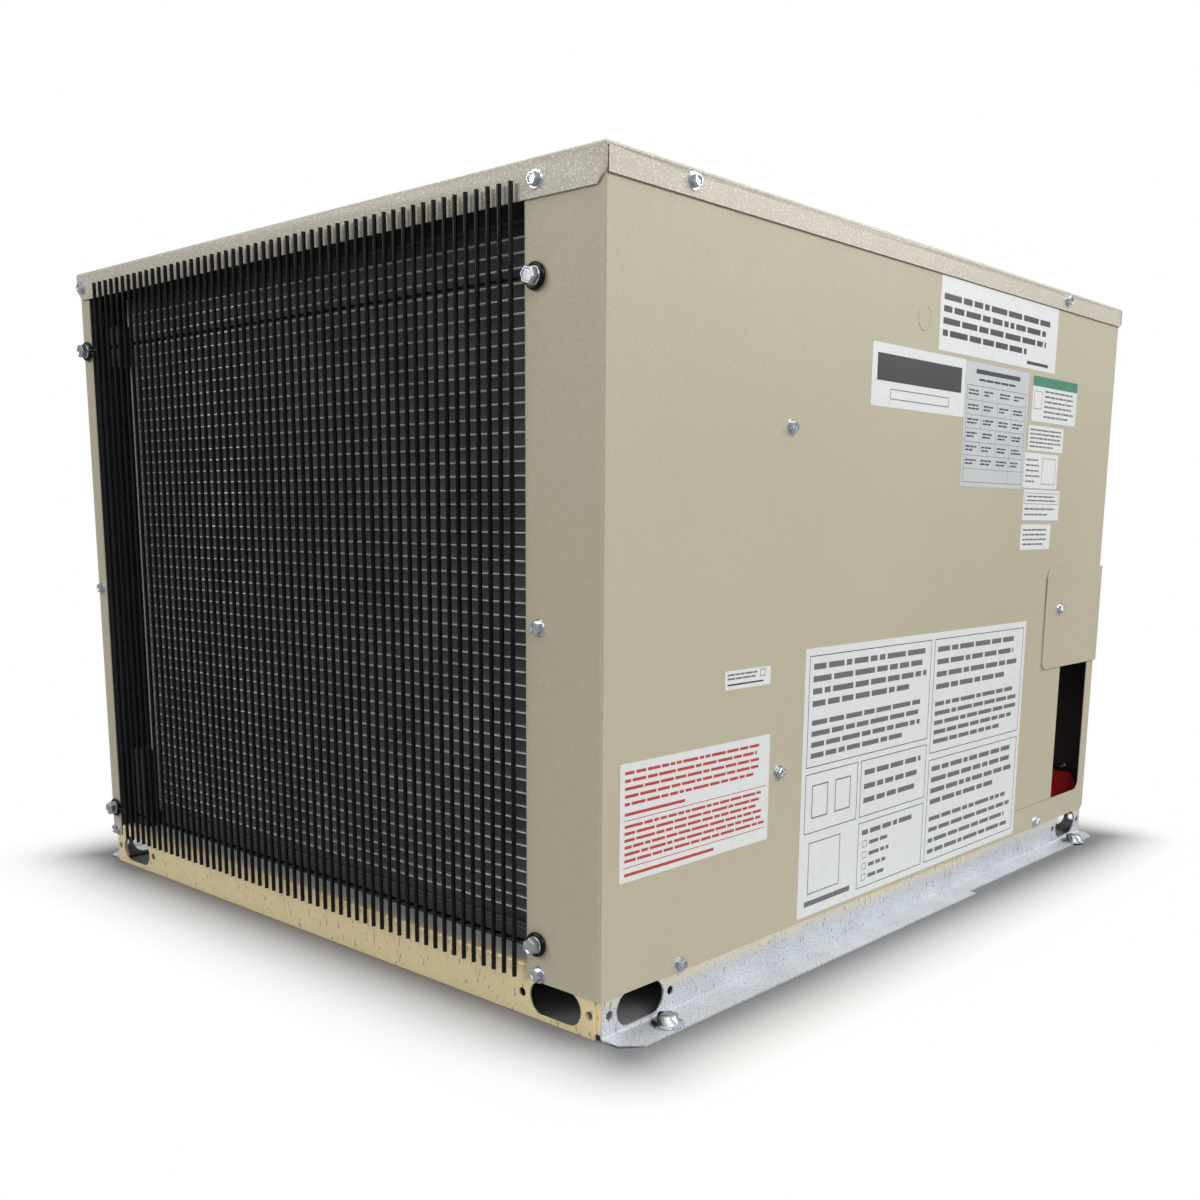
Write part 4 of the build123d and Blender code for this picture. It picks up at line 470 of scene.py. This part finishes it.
def headTree():
    # hex head on a round washer face, dished on top, with a threaded shank behind it
    tree, given = newTree("hexHeads", [
        ("Across flats", "Float"), ("Head height", "Float"), ("Washer radius", "Float"),
        ("Washer height", "Float"), ("Chamfer", "Float"), ("Dish depth", "Float"),
        ("Shank radius", "Float"), ("Shank length", "Float"), ("Thread pitch", "Float"),
        ("Seed", "Int"), ("Material", "Material"),
    ])

    def times(a, b):
        return put(tree, "ShaderNodeMath", {0: a, 1: b}, operation="MULTIPLY").outputs[0]

    def lifted(shape, height):
        offset = put(tree, "ShaderNodeCombineXYZ", {"Z": height}).outputs[0]
        return put(tree, "GeometryNodeTransform", {"Geometry": shape, "Translation": offset}).outputs[0]

    washer = put(tree, "GeometryNodeMeshCone", {
        "Vertices": 28, "Radius Top": times(given["Washer radius"], 0.90),
        "Radius Bottom": given["Washer radius"], "Depth": given["Washer height"]}).outputs[0]
    corner = times(given["Across flats"], 1 / math.sqrt(3))
    body = put(tree, "GeometryNodeMeshCone", {
        "Vertices": 6, "Radius Top": corner, "Radius Bottom": corner,
        "Depth": given["Head height"]}).outputs[0]
    up = put(tree, "ShaderNodeSeparateXYZ", {0: put(tree, "GeometryNodeInputNormal").outputs[0]}).outputs[2]
    top = put(tree, "ShaderNodeMath", {0: up, 1: 0.5}, operation="GREATER_THAN").outputs[0]
    for rise, spread in (
        (given["Chamfer"], 0.86), (0.0, 0.84),
        (times(given["Dish depth"], -1.0), 0.82),
    ):
        raised = put(tree, "GeometryNodeExtrudeMesh", {"Mesh": body, "Selection": top, "Offset Scale": rise})
        body, top = raised.outputs[0], raised.outputs[1]
        body = put(tree, "GeometryNodeScaleElements", {"Geometry": body, "Selection": top, "Scale": spread}).outputs[0]
    shank = put(tree, "GeometryNodeMeshCone", {
        "Vertices": 16, "Radius Top": given["Shank radius"],
        "Radius Bottom": times(given["Shank radius"], 0.55), "Depth": given["Shank length"]}).outputs[0]
    turns = put(tree, "ShaderNodeMath", {0: given["Shank length"], 1: given["Thread pitch"]}, operation="DIVIDE").outputs[0]
    spiral = put(tree, "GeometryNodeCurveSpiral", {
        "Resolution": 18, "Rotations": turns, "Start Radius": times(given["Shank radius"], 0.60),
        "End Radius": given["Shank radius"], "Height": times(given["Shank length"], 0.92)}).outputs[0]
    crest = put(tree, "GeometryNodeCurvePrimitiveCircle", {"Resolution": 4, "Radius": times(given["Thread pitch"], 0.26)}).outputs[0]
    thread = put(tree, "GeometryNodeCurveToMesh", {"Curve": spiral, "Profile Curve": crest, "Fill Caps": True}).outputs[0]
    back = times(given["Shank length"], -1.0)
    whole = put(tree, "GeometryNodeJoinGeometry")
    for shape in (washer, lifted(body, given["Washer height"]), lifted(shank, back), lifted(thread, back)):
        tree.links.new(shape, whole.inputs[0])
    way = put(tree, "GeometryNodeInputNamedAttribute", {"Name": "facing"}, data_type="FLOAT_VECTOR").outputs[0]
    aligned = put(tree, "FunctionNodeAlignRotationToVector", {"Vector": way}, axis="Z").outputs[0]
    anyTurn = put(tree, "FunctionNodeRandomValue", {2: 0.0, 3: math.pi / 3, "Seed": given["Seed"]}, data_type="FLOAT").outputs[1]
    spin = put(tree, "FunctionNodeAxisAngleToRotation", {"Axis": (0, 0, 1), "Angle": anyTurn}).outputs[0]
    turned = put(tree, "FunctionNodeRotateRotation", {0: aligned, 1: spin}, rotation_space="LOCAL").outputs[0]
    placed = put(tree, "GeometryNodeInstanceOnPoints", {
        "Points": given["Seats"], "Instance": whole.outputs[0], "Rotation": turned}).outputs[0]
    endTree(tree, placed, given["Material"])
    return tree


hexHeads = headTree()

panelScrew = {
    "Across flats": 0.0080, "Head height": 0.0030, "Washer radius": 0.0064, "Washer height": 0.0009,
    "Chamfer": 0.0006, "Dish depth": 0.0012, "Shank radius": 0.0024, "Shank length": 0.0080,
    "Thread pitch": 0.0014, "Seed": 3, "Material": finish["zinc_hardware"],
}
guardBolt = {
    "Across flats": 0.0111, "Head height": 0.0042, "Washer radius": 0.0064, "Washer height": 0.0008,
    "Chamfer": 0.0010, "Dish depth": 0.0005, "Shank radius": 0.0037, "Shank length": 0.0118,
    "Thread pitch": 0.0020, "Seed": 5, "Material": finish["zinc_hardware"],
}


def makeFasteners():
    sides = [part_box(n) for n in ("left_panel", "right_panel", "rear_panel")]
    walls = (Vector(map(min, zip(*[b[0] for b in sides]))), Vector(map(max, zip(*[b[1] for b in sides]))))
    screwHead = 0.0054
    boltHead = 0.0062
    jobs = (
        ("panelScrews", "panel_screws", walls, screwHead, "chassis", panelScrew),
        ("lidScrews", "lid_screws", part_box("top_panel"), screwHead, "top_cover", panelScrew),
        ("guardBolts", "guard_bolts", walls, boltHead, "chassis", guardBolt),
    )
    for name, node, sheet, proud, body, sizes in jobs:
        seats = headSeats(node, sheet, proud)
        piece = growFrom(hexHeads, name, seatMesh(name, seats), sizes)
        smoothSides(piece.data, 34)
        settle(piece, body, "zinc_hardware", node)
        print(name, len(seats))


# ---- wire guards ----

def uprightTree():
    tree, given = newTree("guardUprights", [
        ("Wire radius", "Float"), ("Length", "Float"), ("Sides", "Int"), ("Material", "Material")])
    wire = put(tree, "GeometryNodeMeshCylinder", {
        "Vertices": given["Sides"], "Radius": given["Wire radius"], "Depth": given["Length"]}).outputs[0]
    placed = put(tree, "GeometryNodeInstanceOnPoints", {"Points": given["Seats"], "Instance": wire}).outputs[0]
    endTree(tree, placed, given["Material"])
    return tree


def weldTree():
    tree, given = newTree("guardWelds", [("Radius", "Float"), ("Material", "Material")])
    bead = put(tree, "GeometryNodeMeshIcoSphere", {"Radius": given["Radius"], "Subdivisions": 2}).outputs[0]
    flat = put(tree, "GeometryNodeTransform", {"Geometry": bead, "Scale": (1.0, 0.75, 1.15)}).outputs[0]
    placed = put(tree, "GeometryNodeInstanceOnPoints", {"Points": given["Seats"], "Instance": flat}).outputs[0]
    endTree(tree, placed, given["Material"])
    return tree


def bentWireTree():
    tree, given = newTree("bentWire", [("Wire radius", "Float"), ("Sides", "Int"), ("Material", "Material")])
    path = put(tree, "GeometryNodeMeshToCurve", {0: given["Seats"]}).outputs[0]
    section = put(tree, "GeometryNodeCurvePrimitiveCircle", {"Resolution": given["Sides"], "Radius": given["Wire radius"]}).outputs[0]
    wire = put(tree, "GeometryNodeCurveToMesh", {"Curve": path, "Profile Curve": section, "Fill Caps": True}).outputs[0]
    endTree(tree, wire, given["Material"])
    return tree


guardUprights, guardWelds, bentWire = uprightTree(), weldTree(), bentWireTree()
guard = {"wireRadius": 0.0017, "sides": 14, "eyeRadius": 0.0074, "eyeInset": 0.0087, "eyeSteps": 22, "eyeOpen": 24.0, "weld": 0.0015}


def railPath(left, right, y, z, eyes):
    # one level wire; where a bolt holds it, its end is bent round into a closed eye
    points = []
    r, steps = guard["eyeRadius"], guard["eyeSteps"]
    if eyes:
        sweep = 360.0 - guard["eyeOpen"]
        for k in range(steps + 1):
            a = math.radians(-guard["eyeOpen"] - sweep * k / steps)
            points.append(Vector((left + r * math.cos(a), y, z + r * math.sin(a))))
        for k in range(steps + 1):
            a = math.radians(180.0 - sweep * k / steps)
            points.append(Vector((right + r * math.cos(a), y, z + r * math.sin(a))))
    else:
        points = [Vector((left, y, z)), Vector((right, y, z))]
    return points


def makeGuard(name, node, boltNode):
    parts = looseParts(node)
    uprights = [b for b in parts if b[1].z - b[0].z > 10 * (b[1].x - b[0].x)]
    rails = [b for b in parts if b[1].x - b[0].x > 10 * (b[1].z - b[0].z)]
    length = uprights[0][1].z - uprights[0][0].z
    material = finish["black_wire"]
    centres = [((low + high) / 2, Vector((0, 0, 1))) for low, high in uprights]
    made = [growFrom(guardUprights, name + "Uprights", seatMesh(name + "Uprights", centres), {
        "Wire radius": guard["wireRadius"], "Length": length, "Sides": guard["sides"], "Material": material})]
    r = guard["wireRadius"]
    welds = []
    for low, high in rails:
        middle = (low + high) / 2
        eyes = high.z - low.z > 3.5 * r
        inset = guard["eyeInset"] if eyes else 0.0
        points = railPath(low.x + inset, high.x - inset, middle.y, middle.z, eyes)
        mesh = bpy.data.meshes.new(name + "Rail")
        mesh.from_pydata(points, [(k, k + 1) for k in range(len(points) - 1)], [])
        made.append(growFrom(bentWire, name + "Rail", mesh, {"Wire radius": r, "Sides": guard["sides"], "Material": material}))
        for centre, _ in centres:
            welds.append((Vector((centre.x, (centre.y + middle.y) / 2, middle.z)), Vector((0, 0, 1))))
    made.append(growFrom(guardWelds, name + "Welds", seatMesh(name + "Welds", welds), {"Radius": guard["weld"], "Material": material}))
    for piece in made:
        smoothSides(piece.data, 50)
    whole = joined(name, made, material)
    settle(whole, "chassis", "black_wire", node)
    print(name, len(uprights), "uprights", len(rails), "rails")


def joined(name, pieces, material):
    work = bmesh.new()
    for piece in pieces:
        work.from_mesh(piece.data)
    for face in work.faces:
        face.material_index = 0
    mesh = bpy.data.meshes.new(name)
    work.to_mesh(mesh)
    work.free()
    mesh.materials.append(material)
    for piece in pieces:
        bpy.data.objects.remove(piece)
    return meshPiece(name, mesh)


# ---- folded fins between the coil's tubes ----

fins = {"pitch": 0.00145, "sheet": 0.00012, "crest": 0.00025, "inset": 0.0012}


def finTree():
    # one row is a zigzag ribbon with real thickness, repeated between the tubes
    tree, given = newTree("foldedFins", [
        ("Length", "Float"), ("Depth", "Float"), ("Height", "Float"), ("Folds", "Int"),
        ("Sheet", "Float"), ("Material", "Material")])
    count = put(tree, "ShaderNodeMath", {0: given["Folds"], 1: 1.0}, operation="ADD").outputs[0]
    ribbon = put(tree, "GeometryNodeMeshGrid", {
        "Size X": given["Length"], "Size Y": given["Depth"], "Vertices X": count, "Vertices Y": 2}).outputs[0]
    index = put(tree, "GeometryNodeInputIndex").outputs[0]
    column = put(tree, "ShaderNodeMath", {0: index, 1: 0.5}, operation="MULTIPLY").outputs[0]
    whole = put(tree, "ShaderNodeMath", {0: column}, operation="FLOOR").outputs[0]
    odd = put(tree, "ShaderNodeMath", {0: whole, 1: 2.0}, operation="MODULO").outputs[0]
    side = put(tree, "ShaderNodeMath", {0: odd, 1: 0.5}, operation="SUBTRACT").outputs[0]
    rise = put(tree, "ShaderNodeMath", {0: side, 1: given["Height"]}, operation="MULTIPLY").outputs[0]
    offset = put(tree, "ShaderNodeCombineXYZ", {"Z": rise}).outputs[0]
    folded = put(tree, "GeometryNodeSetPosition", {"Geometry": ribbon, "Offset": offset}).outputs[0]
    thick = put(tree, "GeometryNodeExtrudeMesh", {"Mesh": folded, "Offset Scale": given["Sheet"], "Individual": False}).outputs[0]
    back = put(tree, "GeometryNodeFlipFaces", {0: folded}).outputs[0]
    both = put(tree, "GeometryNodeJoinGeometry")
    tree.links.new(thick, both.inputs[0])
    tree.links.new(back, both.inputs[0])
    sealed = put(tree, "GeometryNodeMergeByDistance", {"Geometry": both.outputs[0], "Distance": 1e-6}).outputs[0]
    placed = put(tree, "GeometryNodeInstanceOnPoints", {"Points": given["Seats"], "Instance": sealed}).outputs[0]
    endTree(tree, placed, given["Material"])
    return tree


def makeFins():
    rows = looseParts("coil_fins")
    low, high = rows[0]
    size = high - low
    tree = finTree()
    seats = [((a + b) / 2, Vector((0, 0, 1))) for a, b in rows]
    piece = growFrom(tree, "coilFins", seatMesh("coilFins", seats), {
        "Length": size.x - 2 * fins["sheet"], "Depth": size.y - fins["inset"],
        "Height": size.z - 2 * fins["crest"], "Folds": int(size.x / fins["pitch"]),
        "Sheet": fins["sheet"], "Material": finish["fin_aluminium"]})
    settle(piece, "chassis", "fin_aluminium", "coil_fins")
    print("coil fins, rows", len(rows), "faces", len(piece.data.polygons))


# ---- labels ----

class LabelSheet:
    # a thin label on the +X face; across runs with +Y and up with +Z, both from its lower front corner
    def __init__(self, name, front, rear, low, high, face, stock="paper", corner=0.0015):
        self.name, self.face, self.front, self.low = name, face, front, low
        self.wide, self.high = rear - front, high - low
        self.inks = [stock]
        self.work = bmesh.new()
        self.random = random.Random(name)
        self.plate(0, 0, self.wide, self.high, 0.00002, 0.00020, stock, corner)

    def plate(self, u0, v0, u1, v1, bottom, top, stock, corner=0.0):
        if stock not in self.inks:
            self.inks.append(stock)
        outline = []
        if corner:
            for cu, cv, start in ((u1 - corner, v0 + corner, -90), (u1 - corner, v1 - corner, 0),
                                  (u0 + corner, v1 - corner, 90), (u0 + corner, v0 + corner, 180)):
                for k in range(5):
                    a = math.radians(start + 22.5 * k)
                    outline.append((cu + corner * math.cos(a), cv + corner * math.sin(a)))
        else:
            outline = [(u0, v0), (u1, v0), (u1, v1), (u0, v1)]
        rings = [[self.work.verts.new((self.face + h, self.front + u, self.low + v)) for u, v in outline] for h in (bottom, top)]
        faces = [self.work.faces.new(rings[1]), self.work.faces.new(rings[0][::-1])]
        for k in range(len(outline)):
            n = (k + 1) % len(outline)
            faces.append(self.work.faces.new((rings[0][k], rings[0][n], rings[1][n], rings[1][k])))
        for face in faces:
            face.material_index = self.inks.index(stock)

    def bar(self, u0, v0, u1, v1, colour="grey"):
        self.plate(u0, v0, u1, v1, 0.00020, 0.00023, colour)

    def frame(self, u0, v0, u1, v1, line=0.0006, colour="black"):
        self.bar(u0, v0, u1, v0 + line, colour)
        self.bar(u0, v1 - line, u1, v1, colour)
        self.bar(u0, v0 + line, u0 + line, v1 - line, colour)
        self.bar(u1 - line, v0 + line, u1, v1 - line, colour)

    def rows(self, u0, u1, top, low, count, height, colour="grey", ragged=0.25, words=(0.006, 0.026)):
        # ruled rows broken into dashes of uneven length, with a ragged right edge
        step = (top - low) / count
        gap = height * 0.75
        for k in range(count):
            v = top - step * (k + 0.5) - height / 2
            end = u1 - (u1 - u0) * ragged * self.random.random() * (0.3 if k < count - 1 else 1.0)
            u = u0
            while u < end - 0.002:
                long = min(self.random.uniform(*words), end - u)
                self.bar(u, v, u + long, v + height, colour)
                u += long + gap

    def done(self):
        mesh = bpy.data.meshes.new(self.name)
        self.work.to_mesh(mesh)
        self.work.free()
        for stock in self.inks:
            mesh.materials.append(ink[stock])
        piece = meshPiece(self.name, mesh)
        return settle(piece, "chassis", "cabinet_paint")


def makeLabels():
    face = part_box("right_panel")[1].x

    # notice under the lid's flange
    s = LabelSheet("noticeLabel", 0.0130, 0.2546, 0.4990, 0.5608, face)
    s.rows(0.006, 0.236, 0.050, 0.010, 4, 0.0052, "black", 0.3, (0.008, 0.034))
    s.bar(0.176, 0.004, 0.224, 0.0070, "black")
    s.done()

    # maker's place, left generic: one plain band over one thin frame
    s = LabelSheet("plainBandLabel", -0.0945, 0.0655, 0.4456, 0.4956, face)
    s.bar(0.008, 0.0205, 0.1530, 0.0420, "black")
    s.frame(0.030, 0.0065, 0.1310, 0.0150, 0.0008, "grey")
    s.done()

    # rating plate: a ruled table with no entries
    s = LabelSheet("ratingPlate", 0.0660, 0.1970, 0.3850, 0.4950, face, "silver")
    s.bar(0.020, 0.1005, 0.111, 0.1045, "black")
    s.rows(0.026, 0.105, 0.0985, 0.0925, 1, 0.0020, "black", 0.1)
    s.frame(0.004, 0.004, 0.127, 0.090, 0.0005, "grey")
    for v in (0.016, 0.028, 0.040, 0.052, 0.064, 0.077):
        s.bar(0.004, v, 0.127, v + 0.0004, "grey")
    for u, v0, v1 in ((0.034, 0.028, 0.090), (0.066, 0.028, 0.077), (0.096, 0.004, 0.077)):
        s.bar(u, v0, u + 0.0004, v1, "grey")
    for row, v in enumerate((0.0195, 0.0315, 0.0435, 0.0555, 0.068, 0.081)):
        for u0, u1 in ((0.007, 0.030), (0.038, 0.060), (0.070, 0.092), (0.100, 0.122)):
            s.rows(u0, u1, v + 0.006, v, 2, 0.0015, "black", 0.5, (0.003, 0.010))
    s.done()

    # small labels beside it
    s = LabelSheet("greenEdgeLabel", 0.2070, 0.3130, 0.4510, 0.4940, face)
    s.bar(0.0, 0.0335, 0.106, 0.0430, "green")
    s.rows(0.028, 0.100, 0.032, 0.003, 6, 0.0018, "grey", 0.3, (0.004, 0.014))
    s.frame(0.004, 0.012, 0.022, 0.029, 0.0006, "grey")
    s.done()
    s = LabelSheet("smallLabelA", 0.2030, 0.2860, 0.4230, 0.4470, face)
    s.rows(0.004, 0.079, 0.022, 0.002, 5, 0.0016, "grey", 0.3, (0.004, 0.014))
    s.done()
    s = LabelSheet("smallLabelB", 0.1980, 0.2770, 0.3865, 0.4205, face)
    s.frame(0.042, 0.004, 0.074, 0.030, 0.0006, "grey")
    s.rows(0.004, 0.038, 0.030, 0.004, 5, 0.0016, "grey", 0.4, (0.004, 0.010))
    s.done()
    s = LabelSheet("smallLabelC", 0.2010, 0.2870, 0.3550, 0.3850, face)
    s.frame(0.003, 0.016, 0.083, 0.027, 0.0005, "grey")
    s.rows(0.004, 0.080, 0.014, 0.003, 2, 0.0017, "grey", 0.3, (0.004, 0.014))
    s.rows(0.008, 0.078, 0.0255, 0.0175, 2, 0.0015, "grey", 0.3, (0.004, 0.014))
    s.done()
    s = LabelSheet("smallLabelD", 0.2000, 0.2700, 0.3260, 0.3510, face)
    s.rows(0.005, 0.065, 0.022, 0.003, 4, 0.0017, "grey", 0.3, (0.004, 0.014))
    s.done()

    # large framed sheet low on the side
    s = LabelSheet("largeSheetLabel", -0.1750, 0.2276, 0.0320, 0.2540, face)
    s.frame(0.006, 0.125, 0.205, 0.216, 0.0007)
    s.rows(0.012, 0.198, 0.212, 0.172, 4, 0.0048, "grey", 0.3, (0.008, 0.032))
    s.rows(0.012, 0.198, 0.166, 0.130, 4, 0.0042, "grey", 0.3, (0.008, 0.032))
    s.frame(0.211, 0.110, 0.397, 0.216, 0.0007)
    s.rows(0.217, 0.390, 0.212, 0.166, 4, 0.0048, "grey", 0.3, (0.008, 0.032))
    s.rows(0.217, 0.390, 0.160, 0.116, 5, 0.0040, "grey", 0.3, (0.008, 0.030))
    s.frame(0.211, 0.006, 0.397, 0.104, 0.0007)
    s.rows(0.217, 0.390, 0.100, 0.058, 4, 0.0046, "grey", 0.3, (0.008, 0.032))
    s.rows(0.217, 0.390, 0.052, 0.010, 4, 0.0040, "grey", 0.3, (0.008, 0.030))
    s.frame(0.006, 0.070, 0.086, 0.120, 0.0007)
    for u in (0.016, 0.051):
        s.frame(u, 0.082, u + 0.024, 0.110, 0.0011, "grey")
    s.frame(0.091, 0.070, 0.205, 0.120, 0.0007)
    s.rows(0.097, 0.198, 0.115, 0.078, 3, 0.0046, "grey", 0.3, (0.008, 0.030))
    s.frame(0.091, 0.006, 0.205, 0.065, 0.0007)
    s.rows(0.097, 0.190, 0.061, 0.050, 1, 0.0044, "grey", 0.1)
    for v in (0.012, 0.022, 0.032, 0.042):
        s.frame(0.099, v, 0.106, v + 0.006, 0.0006, "grey")
        s.rows(0.110, 0.150, v + 0.006, v, 1, 0.0034, "grey", 0.4, (0.006, 0.020))
    s.frame(0.014, 0.018, 0.062, 0.062, 0.0009, "grey")
    s.bar(0.010, 0.008, 0.080, 0.0125, "grey")
    s.done()

    # label with red rules, and the small one above it
    s = LabelSheet("redRuleLabel", -0.3940, -0.2207, 0.1090, 0.1920, face)
    s.rows(0.005, 0.168, 0.079, 0.052, 5, 0.0022, "red", 0.25, (0.005, 0.020))
    s.bar(0.004, 0.0430, 0.169, 0.0436, "red")
    s.bar(0.005, 0.0465, 0.070, 0.0487, "red")
    s.rows(0.005, 0.168, 0.0415, 0.0125, 6, 0.0021, "red", 0.25, (0.005, 0.020))
    s.bar(0.004, 0.0100, 0.169, 0.0106, "red")
    s.bar(0.005, 0.0040, 0.105, 0.0062, "red")
    s.done()
    s = LabelSheet("stripLabel", -0.2800, -0.2227, 0.2310, 0.2450, face)
    s.rows(0.003, 0.040, 0.0125, 0.0065, 2, 0.0013, "grey", 0.2, (0.003, 0.010))
    s.bar(0.003, 0.0030, 0.048, 0.0042, "black")
    s.frame(0.044, 0.0070, 0.050, 0.0125, 0.0005, "black")
    s.done()
    print("labels made")


# ---- curved CAD pieces, shaded smooth ----

def smoothCopy(name, node, body):
    # the same shape with its corners merged, so that round walls shade as round
    work = bmesh.new()
    work.from_mesh(frame["nodes"][node].data)
    bmesh.ops.remove_doubles(work, verts=work.verts, dist=2e-6)
    mesh = bpy.data.meshes.new(name)
    work.to_mesh(mesh)
    work.free()
    mesh.materials.clear()
    mesh.materials.append(special.get(node, finish[slotOf[node]]))
    smoothSides(mesh, 32)
    piece = meshPiece(name, mesh)
    # broad faces keep their own direction, so only the bends shade as round
    weighted = piece.modifiers.new("broadFacesFlat", "WEIGHTED_NORMAL")
    weighted.keep_sharp = True
    settle(piece, body, slotOf[node], node)


def finishNodes():
    handMade = {"panel_screws", "lid_screws", "guard_bolts", "coil_guard", "rear_guard", "coil_fins"}
    bodyOf = {n: b for b, members in frame["record"]["behaviour"]["bodies"].items() for n in members}
    for node in sorted(frame["nodes"]):
        if node in handMade:
            continue
        parts = node.split("_")
        smoothCopy(parts[0] + "".join(p.capitalize() for p in parts[1:]), node, bodyOf[node])
    print("nodes shaded smooth:", len(frame["nodes"]) - len(handMade))


def makeFloor():
    # a pale floor close round the base takes the lamps' shadow and a painted shadow that darkens it towards the base,
    # and gives way to plain white beyond
    half = 1.6
    mesh = bpy.data.meshes.new("floor")
    mesh.from_pydata([(-half, -half, 0), (half, -half, 0), (half, half, 0), (-half, half, 0)], [], [(0, 1, 2, 3)])
    floor = meshPiece("floor", mesh)
    material, tree, surface = newMaterial("paleFloor", (0.86, 0.86, 0.85), 0.7)
    place = objectPlace(tree)
    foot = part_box("base_pan")[1]
    folded = put(tree, "ShaderNodeVectorMath", {0: place}, operation="ABSOLUTE").outputs[0]
    past = put(tree, "ShaderNodeVectorMath", {0: folded, 1: (foot.x, foot.y, 0.0)}, operation="SUBTRACT").outputs[0]
    outside = put(tree, "ShaderNodeVectorMath", {0: past, 1: (0.0, 0.0, 0.0)}, operation="MAXIMUM").outputs[0]
    away = put(tree, "ShaderNodeVectorMath", {0: outside}, operation="LENGTH").outputs["Value"]
    # painted shadow: the floor's colour darkens towards the base
    tone = mixColour(tree, remap(tree, away, 0.0, 0.085, 0.0, 1.0), (0.20, 0.20, 0.21), (0.86, 0.86, 0.85))
    tree.links.new(tone, surface.inputs["Base Color"])
    gone = remap(tree, away, 0.01, 0.12, 0.0, 1.0)
    clear = put(tree, "ShaderNodeBsdfTransparent").outputs[0]
    blend = put(tree, "ShaderNodeMixShader", {0: gone, 1: surface.outputs[0], 2: clear}).outputs[0]
    tree.links.new(blend, tree.nodes["Material Output"].inputs["Surface"])
    mesh.materials.append(material)
    floor.location.z = -0.0003


makeCamera(camera)
makeLamps(lamps)
makeSurroundings(surroundings)
makeFloor()
makeFasteners()
makeGuard("coilGuard", "coil_guard", "guard_bolts")
makeGuard("rearGuard", "rear_guard", "guard_bolts")
makeFins()
makeLabels()
finishNodes()
bpy.context.scene.view_settings.view_transform = "Standard"
